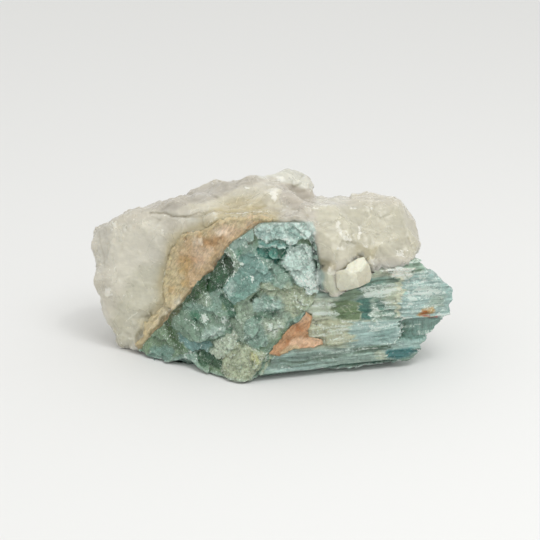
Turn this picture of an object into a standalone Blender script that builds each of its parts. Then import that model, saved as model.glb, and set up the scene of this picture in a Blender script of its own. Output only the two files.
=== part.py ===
"""Aquamarine crystal grown in quartz: a loose hand specimen that stands on its broken underside.

Everything is drawn in millimetres and brought to metres at the end. +X runs right along the crystal,
+Y runs back into the quartz and +Z is up. The crystal's own length, S, runs along its axis, which is
turned a little back from +X; N is the way back across it, so that its front prism face has one N.
"""

import math
import random

import bmesh
import bpy
from mathutils import Vector, noise
from mathutils.bvhtree import BVHTree

MM = 0.001
GAP = 0.3  # between one mineral and the next
FLOOR = 0.0  # the height that the specimen rests on

# The crystal: a stout six-sided prism lying on its side.
AXIS_TURN = math.radians(14.0)
FRONT_N = -25.0
SHOULDER_Z = 34.5
SECTION = [  # (N, Z) of the prism's six edges, counter-clockwise seen from its right end
    (FRONT_N, 0.6),
    (-6.0, -1.2),
    (4.0, 1.4),
    (-13.5, 45.8),
    (-20.0, 46.8),
    (FRONT_N - 0.5, SHOULDER_Z),
]
S_START, S_FINISH = -43.0, 56.0
QUARTZ_ON_TOP_S = 8.0  # past here the quartz has overgrown the crystal down to its shoulder
RIDGE_PITCH = 2.0  # of the growth ridges along the front prism face
RIDGE_DEPTH = 0.4
RIDGE_STATIONS = [-14.0 + 3.4 * k for k in range(20)]  # S where ridges may step in or out

# How far the right end reaches at each height, as (Z, S).
RIGHT_END = [(-2, 33), (2.4, 35.6), (3.4, 36.8), (6, 39.2), (8.8, 40.6), (10.5, 43.6), (13, 44.4), (14.3, 46.2),
             (15.8, 46.8), (18, 48.2), (21, 49.6), (24, 49.8), (26, 48.8), (27.2, 47.4), (29.8, 43.4),
             (32, 40.8), (34.5, 38.6), (37, 33), (48, 28)]
LAYER_BREAKS = [  # where outer layers broke off the front, as spans of S, N and Z
    ((33.6, 60), (-40, -22.6), (9.3, 15.9)),
    ((29.6, 60), (-40, -23.8), (2.9, 5.6)),
]

# The broken left end: two fracture planes, as a point on both and each plane's slopes of Y by X and Z.
NOSE = Vector((-8.3, -28.0, 0.0))
LEFT_BREAK = (-0.671, 0.277)
FRONT_BREAK = (0.016, 0.188)

# Rounded plates that stand out of the broken end, and hollows sunk into it: (rise, outline as X and Z).
BREAK_LOBES = {
    "upper_left_facet": (0.9, [
        (-12.7, 40.1), (-10.9, 43.0), (-7.2, 45.3), (-5.0, 45.8), (-5.1, 43.5), (-6.1, 41.4), (-8.6, 39.2),
        (-11.2, 38.8)
    ]),
    "top_ledge": (2.2, [
        (-5.0, 46.0), (0.1, 47.0), (7.4, 47.3), (11.0, 46.9), (12.3, 44.4), (11.8, 41.7), (8.5, 41.1),
        (5.2, 41.7), (3.4, 42.4), (0.1, 42.9), (-0.8, 41.7), (-3.1, 42.1), (-4.8, 43.0)
    ]),
    "ledge_step": (1.1, [
        (-4.1, 41.7), (0.1, 42.6), (3.8, 41.9), (8.5, 41.1), (6.3, 39.6), (3.0, 39.7), (-0.6, 39.7),
        (-3.5, 39.9)
    ]),
    "teal_hollow": (-1.8, [
        (-5.0, 38.6), (-0.6, 39.5), (3.0, 39.5), (5.8, 39.4), (3.4, 37.7), (2.5, 35.2), (-1.7, 36.3),
        (-5.0, 37.5)
    ]),
    "pale_lump": (2.0, [
        (2.9, 37.2), (5.2, 39.4), (8.5, 41.0), (11.8, 40.6), (13.0, 38.2), (14.9, 34.6), (15.2, 27.3),
        (12.2, 25.7), (10.3, 28.8), (7.1, 29.6), (5.2, 31.7), (2.5, 33.9)
    ]),
    "lens": (0.6, [
        (-9.0, 33.1), (-7.2, 36.7), (-3.5, 37.6), (0.1, 35.8), (1.4, 32.9), (-0.6, 29.6), (-4.2, 29.4),
        (-7.2, 30.9)
    ]),
    "middle_plate": (1.6, [
        (-15.0, 25.4), (-10.9, 29.9), (-7.9, 31.1), (-4.2, 29.3), (-1.5, 28.7), (-3.2, 26.0), (-5.9, 25.4),
        (-6.4, 23.0), (-10.1, 21.8), (-13.1, 22.8)
    ]),
    "pit": (-1.8, [
        (-6.4, 24.9), (-4.1, 26.0), (-3.7, 24.5), (-5.7, 22.7), (-6.6, 23.2)
    ]),
    "grey_plate": (0.7, [
        (-0.2, 31.6), (2.3, 32.5), (4.9, 31.6), (7.1, 28.8), (5.6, 25.9), (0.1, 27.0), (-0.6, 29.2)
    ]),
    "under_pit": (0.9, [
        (-4.1, 24.1), (0.1, 25.6), (3.8, 25.4), (7.1, 23.0), (4.2, 20.3), (-1.7, 20.1), (-5.0, 20.5),
        (-7.2, 21.2)
    ]),
    "lower_right": (1.3, [
        (-8.3, 18.4), (-6.1, 19.6), (-3.5, 19.7), (0.1, 21.0), (3.8, 20.1), (6.5, 19.7), (2.7, 14.2),
        (-1.3, 8.5), (-7.2, 11.0), (-8.7, 14.4)
    ]),
    "dark_recess": (-0.8, [
        (-18.4, 32.3), (-14.6, 37.4), (-12.4, 35.6), (-10.9, 32.5), (-11.8, 30.6), (-14.6, 26.9),
        (-18.4, 24.6), (-20.7, 27.7)
    ]),
    "left_dark": (-0.6, [
        (-28.8, 18.8), (-23.0, 24.8), (-19.9, 24.3), (-19.0, 20.9), (-22.2, 17.8), (-26.1, 17.4)
    ]),
    "left_middle": (0.6, [
        (-15.0, 24.0), (-13.1, 22.3), (-11.3, 19.1), (-12.0, 17.2), (-16.9, 17.8), (-18.8, 20.9),
        (-16.9, 23.5)
    ]),
    "scallop": (1.6, [
        (-30.6, 15.3), (-24.5, 18.1), (-19.9, 18.1), (-14.6, 18.3), (-11.6, 16.7), (-13.1, 14.0),
        (-16.0, 10.5), (-18.1, 8.1), (-22.3, 6.4), (-26.1, 6.0), (-28.1, 8.4), (-30.4, 11.5)
    ]),
    "bottom_left": (1.5, [
        (-39.9, 4.5), (-35.9, 7.3), (-30.0, 8.4), (-26.1, 5.4), (-30.1, 1.5), (-34.0, -0.9), (-36.8, -1.0),
        (-38.4, 1.2)
    ]),
    "pale_block": (2.2, [
        (-18.0, 7.6), (-14.7, 11.2), (-8.7, 14.1), (-9.2, 10.4), (-12.4, 7.4), (-14.7, 6.4)
    ]),
    "dark_pocket": (-2.4, [
        (-25.0, 4.8), (-18.5, 6.6), (-14.7, 5.8), (-13.9, 4.2), (-15.4, 2.0), (-20.0, 2.6), (-23.4, 3.5)
    ]),
    "yellow_lobe": (1.3, [
        (-13.9, 6.3), (-9.1, 10.2), (-5.4, 9.7), (-3.5, 6.2), (-5.0, 3.2), (-7.2, 0.6), (-9.1, -0.1),
        (-12.4, 1.3), (-14.7, 1.8)
    ]),
}
LOBE_STEP = 0.8  # over which a plate rises
BREAK_CELL = 1.25  # spacing of the broken end's grid

# The quartz, as the corner points of the convex lumps that it is grown from.
LEFT_MASS = [
    (-57.4, 4.0, 30.5), (-54.6, 6.0, 36.4), (-56.4, 3.0, 23.4), (-53.0, 2.0, 12.0), (-47.6, -3.6, 1.0),
    (-45.5, 1.0, 42.4), (-37.5, -3.0, 45.0), (-22.0, -9.0, 46.6), (-7.0, -16.5, 49.9), (11.0, -19.0, 50.0),
    (-41.2, -6.6, 1.0), (-23.0, -13.0, 12.0), (-36.0, 4.0, -2.0), (-44.0, 12.0, -2.0), (-53.5, 14.0, 32.0),
    (-50.0, 22.0, 14.0), (-44.0, 24.0, 37.0), (-39.7, 8.0, 42.2), (-24.5, 10.0, 47.3), (-13.0, 12.0, 51.3),
    (-6.6, 12.0, 52.0),
    (-30.0, 29.0, 30.0), (-36.0, 24.0, -2.0), (-2.0, 27.0, 45.0), (-8.0, 32.0, 22.0), (-6.0, 29.0, -2.0),
    (8.0, 6.0, 49.6),
]
RIGHT_LOBE = [
    (9.0, -19.5, 49.6), (12.5, -25.2, 38.0), (13.0, -25.4, 34.4), (31.0, -21.2, 34.6), (45.0, -16.4, 34.6),
    (44.6, -9.0, 38.5), (39.8, 1.0, 44.6), (29.4, 7.0, 47.6), (18.0, 8.0, 46.8), (44.6, 2.0, 24.0),
    (44.0, 10.0, 33.0), (40.0, 20.0, 18.0), (41.0, 8.0, 4.0), (38.0, 20.0, -2.0), (16.0, 31.0, 27.0),
    (14.0, 29.0, -2.0), (2.0, 24.0, 40.0), (2.0, 10.0, -2.0), (34.0, 4.0, -2.0),
]
TONGUE = [  # laps down over the crystal's front
    (12.4, -25.8, 38.0), (12.6, -26.6, 29.0), (18.0, -26.0, 26.2), (24.0, -24.6, 27.2), (29.4, -23.0, 30.4),
    (30.2, -22.2, 37.0), (13.0, -12.0, 38.0), (29.0, -10.0, 38.0), (14.0, -12.0, 28.0), (28.0, -12.0, 29.0),
]
MIDDLE_MASS = [
    (-16.0, 8.0, -2.0), (-17.0, 28.0, -2.0), (-15.0, 31.5, 20.0), (-6.0, 29.0, 40.0), (10.0, 29.0, 37.0),
    (14.5, 30.5, 20.0), (12.0, 28.0, -2.0), (14.0, 6.0, -2.0), (-10.0, 8.0, 45.0), (12.0, 6.0, 45.0),
    (1.0, 32.5, 12.0), (0.0, 31.0, -2.0),
]
BACK_KNOB = [
    (-3.0, 16.0, 44.0), (-2.6, 23.0, 49.6), (-1.0, 17.0, 51.0), (2.6, 18.0, 52.2), (8.2, 19.0, 52.0),
    (12.0, 19.5, 48.6), (12.6, 24.0, 44.0), (3.0, 28.0, 46.0), (12.0, 15.0, 44.0), (4.0, 22.0, 36.0),
]
BACK_SPUR = [
    (-26.0, 20.0, 8.0), (-30.0, 33.0, 14.0), (-18.0, 35.0, 10.0), (-12.0, 33.0, 22.0), (-27.0, 30.0, 26.0),
    (-8.0, 24.0, 12.0), (-22.0, 30.0, -2.0), (-12.0, 31.0, -2.0), (-16.0, 20.0, 24.0),
]
# Shell-shaped scars broken out of the quartz: the point aimed at, the azimuth and elevation that it is
# struck from (0 is the front, 90 the right), the scar's width and its depth.
CHIPS = [
    ((-40, 4, 24), -8, 4, 26, 1.5), ((-47, 8, 33), -50, 30, 15, 1.2), ((-50, 8, 22), -75, 5, 17, 1.5),
    ((-44, 4, 8), -35, -18, 13, 1.3), ((-36, -2, 40), -5, 55, 17, 1.0), ((-14, -4, 46), 0, 72, 27, 1.3),
    ((-26, 0, 43), -8, 66, 19, 1.1), ((1, -8, 47), 8, 66, 15, 1.1), ((-26, 10, 44), -30, 80, 18, 1.2),
    ((17, -12, 44), 8, 52, 15, 1.2), ((29, -6, 42), 25, 48, 15, 1.3), ((22, -16, 35), 6, 12, 14, 1.0),
    ((35, -8, 36), 35, 25, 15, 1.2), ((37, 2, 38), 60, 35, 14, 1.3), ((20, 8, 44), 130, 70, 12, 1.0),
    ((26, 12, 38), 140, 50, 18, 1.6), ((38, 12, 22), 100, 8, 20, 1.7), ((28, 20, 14), 145, 5, 24, 2.0),
    ((12, 22, 26), 175, 20, 22, 2.2), ((-6, 22, 26), 185, 12, 20, 2.0), ((-24, 22, 24), 200, 15, 22, 1.8),
    ((-38, 20, 24), 225, 15, 24, 2.2), ((-46, 14, 16), 265, 5, 20, 1.7), ((-40, 18, 36), 235, 50, 18, 1.5),
    ((-20, 20, 40), 195, 60, 16, 1.5), ((-2, 22, 10), 180, -15, 18, 2.0), ((-34, 22, 8), 205, -20, 20, 1.8),
    ((32, 14, 34), 120, 40, 15, 1.4), ((4, 20, 49), 190, 20, 9, 0.8), ((8, 18, 50), 40, 55, 6, 0.5),
]
QUARTZ_VOXEL = 1.35
QUARTZ_FACES = 5200

# Feldspar along the upper left contact, and the orange feldspar in the broken corner, as (X, Z) outlines.
BAND_OUTLINE = [
    (-41.5, 3.0), (-38.5, 6.6), (-38.6, 9.8), (-35.8, 12.6), (-31.6, 17.2), (-32.6, 22.6), (-31.2, 29.4),
    (-29.6, 34.4), (-26.4, 39.6), (-19.4, 42.2), (-15.0, 45.6), (-3.4, 47.6), (0.6, 46.6), (0.0, 44.0),
    (-12.0, 30.0), (-24.0, 14.0), (-34.0, 3.0),
]
BAND_DEPTH = 6.5
WEDGE_OUTLINE = [
    (-1.0, 8.2), (1.4, 11.4), (5.4, 16.6), (9.6, 20.6), (11.2, 18.6), (10.4, 15.4), (11.0, 12.6),
    (14.6, 11.9), (14.8, 10.4), (9.4, 9.4), (4.4, 8.6),
]
WEDGE_DEPTH = 2.6

# A pale cleaved grain that sits where the quartz meets the crystal's shoulder.
GRAIN = [
    (18.6, -25.4, 33.8), (18.8, -26.2, 29.6), (20.0, -26.4, 27.6), (22.0, -26.4, 33.6), (23.2, -27.4, 31.6),
    (26.2, -25.2, 28.4), (30.2, -23.0, 31.2), (29.8, -22.6, 34.4), (28.0, -22.4, 38.0), (24.6, -23.2, 37.2),
    (21.0, -18.0, 31.0), (28.0, -17.0, 33.0),
]

COLOURS = {  # base colour, roughness
    "quartz_matrix": ((0.66, 0.63, 0.56), 0.35),
    "aquamarine_crystal": ((0.24, 0.42, 0.38), 0.3),
    "feldspar_band": ((0.60, 0.44, 0.30), 0.6),
    "feldspar_wedge": ((0.63, 0.36, 0.21), 0.6),
    "feldspar_grain": ((0.68, 0.64, 0.53), 0.5),
}

random.seed(11)


def across(s, n, z):
    """A point given along the crystal (S), back across it (N) and up (Z)."""
    c, w = math.cos(AXIS_TURN), math.sin(AXIS_TURN)
    return Vector((c * s - w * n, w * s + c * n, z))


def object_of(name, bm):
    """The bmesh as an object in the scene, with its faces turned out."""
    bmesh.ops.recalc_face_normals(bm, faces=bm.faces)
    mesh = bpy.data.meshes.new(name)
    bm.to_mesh(mesh)
    bm.free()
    made = bpy.data.objects.new(name, mesh)
    bpy.context.scene.collection.objects.link(made)
    return made


def hull(name, points):
    bm = bmesh.new()
    for point in points:
        bm.verts.new(point)
    made = bmesh.ops.convex_hull(bm, input=bm.verts)
    inner = {g for g in made["geom_interior"] + made["geom_unused"] if isinstance(g, bmesh.types.BMVert)}
    bmesh.ops.delete(bm, geom=list(inner), context="VERTS")
    return object_of(name, bm)


def apply_modifiers(target):
    """Makes the modified shape the object's own mesh."""
    graph = bpy.context.evaluated_depsgraph_get()
    mesh = bpy.data.meshes.new_from_object(target.evaluated_get(graph))
    target.modifiers.clear()
    target.data = mesh


def combine(target, tool, operation, keep=False):
    """Target with the tool cut away (DIFFERENCE), added (UNION) or as its limit (INTERSECT)."""
    step = target.modifiers.new(operation.lower(), "BOOLEAN")
    step.operation = operation
    step.solver = "EXACT"
    step.object = tool
    apply_modifiers(target)
    if not keep:
        bpy.data.objects.remove(tool)


def copy_of(source):
    made = bpy.data.objects.new(source.name + "_copy", source.data.copy())
    bpy.context.scene.collection.objects.link(made)
    return made


def grown(source, by):
    """A copy whose faces all stand out by the given distance, as a socket for the source."""
    made = copy_of(source)
    bm = bmesh.new()
    bm.from_mesh(made.data)
    bm.normal_update()
    moved = [v.co + v.normal * by * v.calc_shell_factor() for v in bm.verts]
    for vert, place in zip(bm.verts, moved):
        vert.co = place
    bm.to_mesh(made.data)
    bm.free()
    return made


def ball(centre, radius):
    bm = bmesh.new()
    bmesh.ops.create_icosphere(bm, subdivisions=3, radius=radius)
    bmesh.ops.translate(bm, verts=bm.verts, vec=centre)
    return object_of("scoop", bm)


def chip_away(bm, aim, azimuth, elevation, width, depth):
    """Presses one shell-shaped scar into the surface where a blow from that direction meets it."""
    around, up = math.radians(azimuth), math.radians(elevation)
    blow = Vector((math.sin(around) * math.cos(up), -math.cos(around) * math.cos(up), math.sin(up)))
    struck, normal, _, _ = BVHTree.FromBMesh(bm).ray_cast(Vector(aim) + blow * 90.0, -blow)
    if struck is None:
        return
    radius = (width * width / 4 + depth * depth) / (2 * depth)
    centre = struck + (normal + blow).normalized() * (radius - depth)
    for vert in bm.verts:
        reach = vert.co - centre
        if radius - 3.2 * depth < reach.length < radius:
            vert.co = centre + reach.normalized() * radius


def facet_shift(place, cell, tilt):
    """How far a broken surface stands out at a place: flat facets of about the cell's size, each tilted."""
    spot = place / cell
    seed = noise.voronoi(spot)[1][0]
    lean = noise.cell_vector(seed * 41.0) - Vector((0.5, 0.5, 0.5))
    return (spot - seed).dot(lean) * tilt + (lean.x + lean.y) * 0.35 * tilt


def depth_inside(outline, x, z):
    """How far inside the outline a point is, or minus how far outside."""
    spot = Vector((x, z))
    nearest, crossings = 1e9, 0
    for start, end in zip(outline, outline[1:] + outline[:1]):
        a, run = Vector(start), Vector(end) - Vector(start)
        share = min(1.0, max(0.0, (spot - a).dot(run) / run.length_squared))
        nearest = min(nearest, (a + run * share - spot).length)
        if (start[1] > z) != (end[1] > z) and x < start[0] + run.x * (z - start[1]) / run.y:
            crossings += 1
    return nearest if crossings % 2 else -nearest


def lobe_height(x, z):
    """How far the plates and hollows bring the broken end out or in, with slightly ragged rims."""
    ragged = 0.5 * noise.noise(Vector((x * 0.4, z * 0.4, 3.0)))
    height = 0.0
    for rise, outline in BREAK_LOBES.values():
        inside = depth_inside(outline, x, z) + ragged
        share = min(1.0, max(0.0, inside / LOBE_STEP + 0.5))
        height += share * rise * (1.15 + 0.45 * min(1.0, max(0.0, inside) / 3.0))
    return height


def break_y(x, z):
    """Where the broken left end lies: its Y at each X and Z."""
    left = NOSE.y + LEFT_BREAK[0] * (x - NOSE.x) + LEFT_BREAK[1] * (z - NOSE.z)
    front = NOSE.y + FRONT_BREAK[0] * (x - NOSE.x) + FRONT_BREAK[1] * (z - NOSE.z)
    rough = facet_shift(Vector((x, 0.0, z)), 4.6, 1.7) + facet_shift(Vector((x, 9.0, z)), 2.5, 0.7)
    return max(left - 0.3, front + 0.6) - lobe_height(x, z) - rough


def sheet_cutter(name, rows, columns, place_of, far):
    """A closed block with one rough side: a grid of points, and the same grid moved far away."""
    bm = bmesh.new()
    near = [[bm.verts.new(place_of(i, j)) for j in range(columns)] for i in range(rows)]
    back = [[bm.verts.new(far(i, j)) for j in range(columns)] for i in range(rows)]
    for i in range(rows - 1):
        for j in range(columns - 1):
            bm.faces.new((near[i][j], near[i + 1][j], near[i + 1][j + 1]))
            bm.faces.new((near[i][j], near[i + 1][j + 1], near[i][j + 1]))
            bm.faces.new((back[i][j], back[i][j + 1], back[i + 1][j + 1], back[i + 1][j]))
    rim = [(i, 0) for i in range(rows)] + [(rows - 1, j) for j in range(1, columns)]
    rim += [(i, columns - 1) for i in range(rows - 2, -1, -1)] + [(0, j) for j in range(columns - 2, 0, -1)]
    for (i, j), (k, m) in zip(rim, rim[1:] + rim[:1]):
        bm.faces.new((near[i][j], back[i][j], back[k][m], near[k][m]))
    return object_of(name, bm)


def left_break_cutter():
    """Takes away everything in front of the broken left end."""
    x_from, x_to, z_from, z_to = -60.0, 17.5, -4.0, 52.0
    columns = round((x_to - x_from) / BREAK_CELL) + 1
    rows = round((z_to - z_from) / BREAK_CELL) + 1

    def spot(i, j):
        return x_from + (x_to - x_from) * j / (columns - 1), z_from + (z_to - z_from) * i / (rows - 1)

    def near(i, j):
        x, z = spot(i, j)
        return Vector((x, break_y(x, z), z))

    def far(i, j):
        x, z = spot(i, j)
        return Vector((x, -70.0, z))

    return sheet_cutter("left_break", rows, columns, near, far)


def reach_at(z):
    """How far the crystal's right end reaches at a height."""
    for (low, s_low), (high, s_high) in zip(RIGHT_END, RIGHT_END[1:]):
        if low <= z <= high:
            return s_low + (s_high - s_low) * (z - low) / (high - low)
    return RIGHT_END[-1][1]


def right_end_cutter():
    """Takes away what lies past the ragged right end."""
    rows, columns = 30, 20

    def spot(i, j):
        return -32.0 + 42.0 * j / (columns - 1), -4.0 + 54.0 * i / (rows - 1)

    def near(i, j):
        n, z = spot(i, j)
        step = facet_shift(Vector((31.0, n * 0.7, z)), 3.4, 2.6)
        return across(reach_at(z) - 0.22 * (n - FRONT_N) + step, n, z)

    def far(i, j):
        n, z = spot(i, j)
        return across(80.0, n, z)

    return sheet_cutter("right_end", rows, columns, near, far)


def ridged_section(s):
    """The prism's outline at one place along it, as (N, Z), with growth ridges on its two front faces."""
    outline = []
    for index, (n, z) in enumerate(SECTION):
        next_n, next_z = SECTION[(index + 1) % len(SECTION)]
        outline.append((n, z))
        if index < 4:  # the underside, the left contact and the top have no ridges
            continue
        ridges = round(math.hypot(next_n - n, next_z - z) / RIDGE_PITCH)
        for ridge in range(1, ridges):
            share = ridge / ridges
            length = 15.0 + 7.0 * noise.cell(Vector((ridge * 2.3 + 0.5, 4.5, 1.5)))
            lath = math.floor((s + 40.0 * noise.cell(Vector((ridge * 3.1 + 0.5, 8.5, 1.5)))) / length)
            level = noise.cell(Vector((ridge * 1.7 + 0.5, lath + 0.5 + index * 9, 3.5)))
            for side in (-0.34, 0.34):
                along = share + side / ridges
                outline.append((n + (next_n - n) * along + level * RIDGE_DEPTH, z + (next_z - z) * along))
    return outline


def prism(name, section_at, stations):
    """A closed bar along the crystal's axis, with its outline given at each station."""
    bm = bmesh.new()
    rings = [[bm.verts.new(across(s, n, z)) for n, z in section_at(s)] for s in stations]
    for ring, following in zip(rings, rings[1:]):
        for k in range(len(ring)):
            m = (k + 1) % len(ring)
            bm.faces.new((ring[k], ring[m], following[m], following[k]))
    bm.faces.new(rings[0])
    bm.faces.new(rings[-1][::-1])
    return object_of(name, bm)


def outline_block(name, outline, y_near, y_far):
    """A block with an (X, Z) outline, from one Y surface back to another, given as functions of X and Z."""
    bm = bmesh.new()
    front = [bm.verts.new((x, y_near(x, z), z)) for x, z in outline]
    back = [bm.verts.new((x, y_far(x, z), z)) for x, z in outline]
    for k in range(len(outline)):
        m = (k + 1) % len(outline)
        bm.faces.new((front[k], front[m], back[m], back[k]))
    bmesh.ops.triangulate(bm, faces=[bm.faces.new(front[::-1]), bm.faces.new(back)])
    return object_of(name, bm)


def band_back(x, z):
    """How far back the feldspar band reaches."""
    return -20.5 - 0.47 * x + 0.02 * z + BAND_DEPTH


def wedge_back(x, z):
    return -25.8 + 0.25 * x + 0.02 * z + WEDGE_DEPTH


def stand_flat(target):
    """Cuts the object off flat at the floor."""
    bm = bmesh.new()
    bm.from_mesh(target.data)
    geometry = bm.verts[:] + bm.edges[:] + bm.faces[:]
    cut = bmesh.ops.bisect_plane(
        bm, geom=geometry, dist=1e-5, plane_co=(0, 0, FLOOR), plane_no=(0, 0, 1), clear_inner=True
    )
    rim = [e for e in cut["geom_cut"] if isinstance(e, bmesh.types.BMEdge)]
    bmesh.ops.holes_fill(bm, edges=rim, sides=0)
    bmesh.ops.triangulate(bm, faces=[f for f in bm.faces if len(f.verts) > 4])
    bmesh.ops.recalc_face_normals(bm, faces=bm.faces)
    bm.to_mesh(target.data)
    bm.free()


def even_out(body):
    """Gives the body a new mesh of even squares, with no folds in it."""
    remesh = body.modifiers.new("even", "REMESH")
    remesh.mode = "VOXEL"
    remesh.voxel_size = QUARTZ_VOXEL
    apply_modifiers(body)


def roughen_quartz(body):
    """Turns the joined lumps into one broken surface: flat facets, soft swells and a few thousand faces."""
    even_out(body)
    bm = bmesh.new()
    bm.from_mesh(body.data)
    bm.normal_update()
    moved = []
    for vert in bm.verts:
        shift = facet_shift(vert.co, 13.0, 1.5) + facet_shift(vert.co + Vector((50, 0, 0)), 6.0, 0.6)
        shift += 0.7 * noise.noise(vert.co * 0.1) + 0.35 * noise.noise(vert.co * 0.31)
        moved.append(vert.co + vert.normal * shift)
    for vert, place in zip(bm.verts, moved):
        vert.co = place
    for _ in range(2):
        bmesh.ops.smooth_vert(bm, verts=bm.verts, factor=0.5, use_axis_x=True, use_axis_y=True, use_axis_z=True)
    for chip in CHIPS:
        chip_away(bm, *chip)
    bmesh.ops.smooth_vert(bm, verts=bm.verts, factor=0.4, use_axis_x=True, use_axis_y=True, use_axis_z=True)
    bm.to_mesh(body.data)
    bm.free()
    even_out(body)
    thin = body.modifiers.new("thin", "DECIMATE")
    thin.ratio = QUARTZ_FACES / (2 * len(body.data.polygons))
    apply_modifiers(body)


def make_quartz():
    body = hull("quartz_matrix", LEFT_MASS)
    for lump in (RIGHT_LOBE, TONGUE, MIDDLE_MASS, BACK_KNOB, BACK_SPUR):
        combine(body, hull("lump", lump), "UNION")
    roughen_quartz(body)
    stand_flat(body)
    return body


def overgrowth(margin):
    """What the quartz takes of the prism's upper right part, smaller by the margin."""
    s, z = QUARTZ_ON_TOP_S + margin, SHOULDER_Z + margin
    corners = [across(s, -45, z + 1.0), across(s, 12, z - 1.5), across(s - 1.5, -45, 70), across(s - 1.5, 12, 70)]
    corners += [across(75, -45, z - 0.5), across(75, 12, z - 3.0), across(75, -45, 70), across(75, 12, 70)]
    return hull("overgrowth", corners)


def upper_left_cover(margin):
    """The corner of the prism that feldspar covers at the upper left, smaller by the margin."""
    outline = [(-13.8 - margin, 38.0 + margin), (-0.5 - margin, 48.2 + margin), (-4.0, 60.0), (-40.0, 60.0)]
    return hull("cover", [(x, y, z) for x, z in outline + [(-34.0, 38.0)] for y in (-60.0, -9.0 - margin)])


def make_crystal():
    stations = [S_START] + RIDGE_STATIONS + [S_FINISH]
    body = prism("aquamarine_crystal", ridged_section, stations)
    combine(body, overgrowth(0.0), "DIFFERENCE")
    combine(body, upper_left_cover(0.0), "DIFFERENCE")
    for ends in LAYER_BREAKS:
        corners = [across(s, n, z) for s in ends[0] for n in ends[1] for z in ends[2]]
        combine(body, hull("layer_break", corners), "DIFFERENCE")
    under = [(x, y, -8) for x in (-7, 70) for y in (-60, -4)]
    under += [(-7, -60, 0.1), (14, -60, 1.9), (70, -60, 2.8), (-7, -20, 0.0), (14, -20, 1.6), (70, -10, 2.6)]
    combine(body, hull("undercut", under), "DIFFERENCE")
    combine(body, ball((-25.4, -20.0, -3.4), 7.4), "DIFFERENCE")
    combine(body, left_break_cutter(), "DIFFERENCE")
    combine(body, right_end_cutter(), "DIFFERENCE")
    stand_flat(body)
    return body


def socket_for_crystal():
    """The space that the quartz leaves for the crystal: its plain prism, grown by its ridges and the gap."""
    section = [(n - RIDGE_DEPTH if k in (0, 4, 5) else n, z) for k, (n, z) in enumerate(SECTION)]
    plain = prism("socket", lambda s: section, [S_START, 75.0])
    made = grown(plain, GAP)
    bpy.data.objects.remove(plain)
    combine(made, overgrowth(GAP), "DIFFERENCE")
    combine(made, upper_left_cover(GAP), "DIFFERENCE")
    return made


def inlay(name, body, block):
    """Cuts a block out of the body: the piece inside becomes its own object, with a gap around it."""
    piece = copy_of(body)
    piece.name = name
    combine(piece, block, "INTERSECT", keep=True)
    socket = grown(block, GAP)
    combine(body, socket, "DIFFERENCE")
    bpy.data.objects.remove(block)
    return piece


def paint(target):
    colour, roughness = COLOURS[target.name]
    material = bpy.data.materials.new(target.name)
    material.use_nodes = True
    shader = material.node_tree.nodes["Principled BSDF"]
    shader.inputs["Base Color"].default_value = (*colour, 1.0)
    shader.inputs["Roughness"].default_value = roughness
    target.data.materials.clear()
    target.data.materials.append(material)


def bring_to_metres(pieces):
    """Puts the origin under the middle of the whole specimen, on the floor, and turns millimetres to metres."""
    corners = [v.co for piece in pieces for v in piece.data.vertices]
    low = Vector([min(c[k] for c in corners) for k in range(3)])
    high = Vector([max(c[k] for c in corners) for k in range(3)])
    middle = Vector(((low.x + high.x) / 2, (low.y + high.y) / 2, low.z))
    for piece in pieces:
        for vert in piece.data.vertices:
            vert.co = (vert.co - middle) * MM
        for face in piece.data.polygons:
            face.use_smooth = False
        paint(piece)


def main():
    for old in list(bpy.data.objects):
        bpy.data.objects.remove(old)
    quartz = make_quartz()
    crystal = make_crystal()
    combine(quartz, socket_for_crystal(), "DIFFERENCE")
    band_block = outline_block("band_block", BAND_OUTLINE, lambda x, z: -60.0, band_back)
    band = inlay("feldspar_band", quartz, band_block)
    wedge_block = outline_block("wedge_block", WEDGE_OUTLINE, lambda x, z: -60.0, wedge_back)
    wedge = inlay("feldspar_wedge", crystal, wedge_block)
    grain = hull("feldspar_grain", GRAIN)
    for host in (quartz, crystal):
        combine(host, grown(grain, GAP), "DIFFERENCE")
    bring_to_metres([quartz, crystal, band, wedge, grain])


main()
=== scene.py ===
"""The looks of an aquamarine crystal in its quartz: every mineral's broken surface, finish and colour.

Places are in millimetres in the specimen's own drawing: +X right, +Y back and +Z up, with S along the crystal
and N back across it. They are brought to metres, and to the middle of the underside, when a mesh is written.
Outlines and lines are drawn on a sheet of 540 by 540 units, as seen from the camera's place: right, down.
"""

import collections
import itertools
import math

import bpy
import numpy as np
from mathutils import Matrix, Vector
from mathutils.bvhtree import BVHTree


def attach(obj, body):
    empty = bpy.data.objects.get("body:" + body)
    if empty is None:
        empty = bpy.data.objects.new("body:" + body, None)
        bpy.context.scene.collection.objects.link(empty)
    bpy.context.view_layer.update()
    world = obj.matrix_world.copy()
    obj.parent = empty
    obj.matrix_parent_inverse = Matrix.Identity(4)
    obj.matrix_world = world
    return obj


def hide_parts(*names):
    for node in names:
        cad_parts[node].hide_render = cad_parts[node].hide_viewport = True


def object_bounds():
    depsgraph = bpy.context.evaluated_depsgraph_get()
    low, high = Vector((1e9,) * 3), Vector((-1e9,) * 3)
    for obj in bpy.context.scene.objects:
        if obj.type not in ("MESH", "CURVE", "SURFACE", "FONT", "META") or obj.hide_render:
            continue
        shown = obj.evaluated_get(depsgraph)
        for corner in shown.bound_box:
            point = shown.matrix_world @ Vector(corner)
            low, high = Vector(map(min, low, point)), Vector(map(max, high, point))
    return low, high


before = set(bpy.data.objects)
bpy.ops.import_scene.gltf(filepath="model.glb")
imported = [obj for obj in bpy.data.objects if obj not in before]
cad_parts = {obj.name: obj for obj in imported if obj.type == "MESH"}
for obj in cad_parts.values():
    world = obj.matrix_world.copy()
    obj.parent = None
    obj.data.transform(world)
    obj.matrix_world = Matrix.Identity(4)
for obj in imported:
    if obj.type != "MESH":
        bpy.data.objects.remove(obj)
CAD_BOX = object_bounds()

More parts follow.
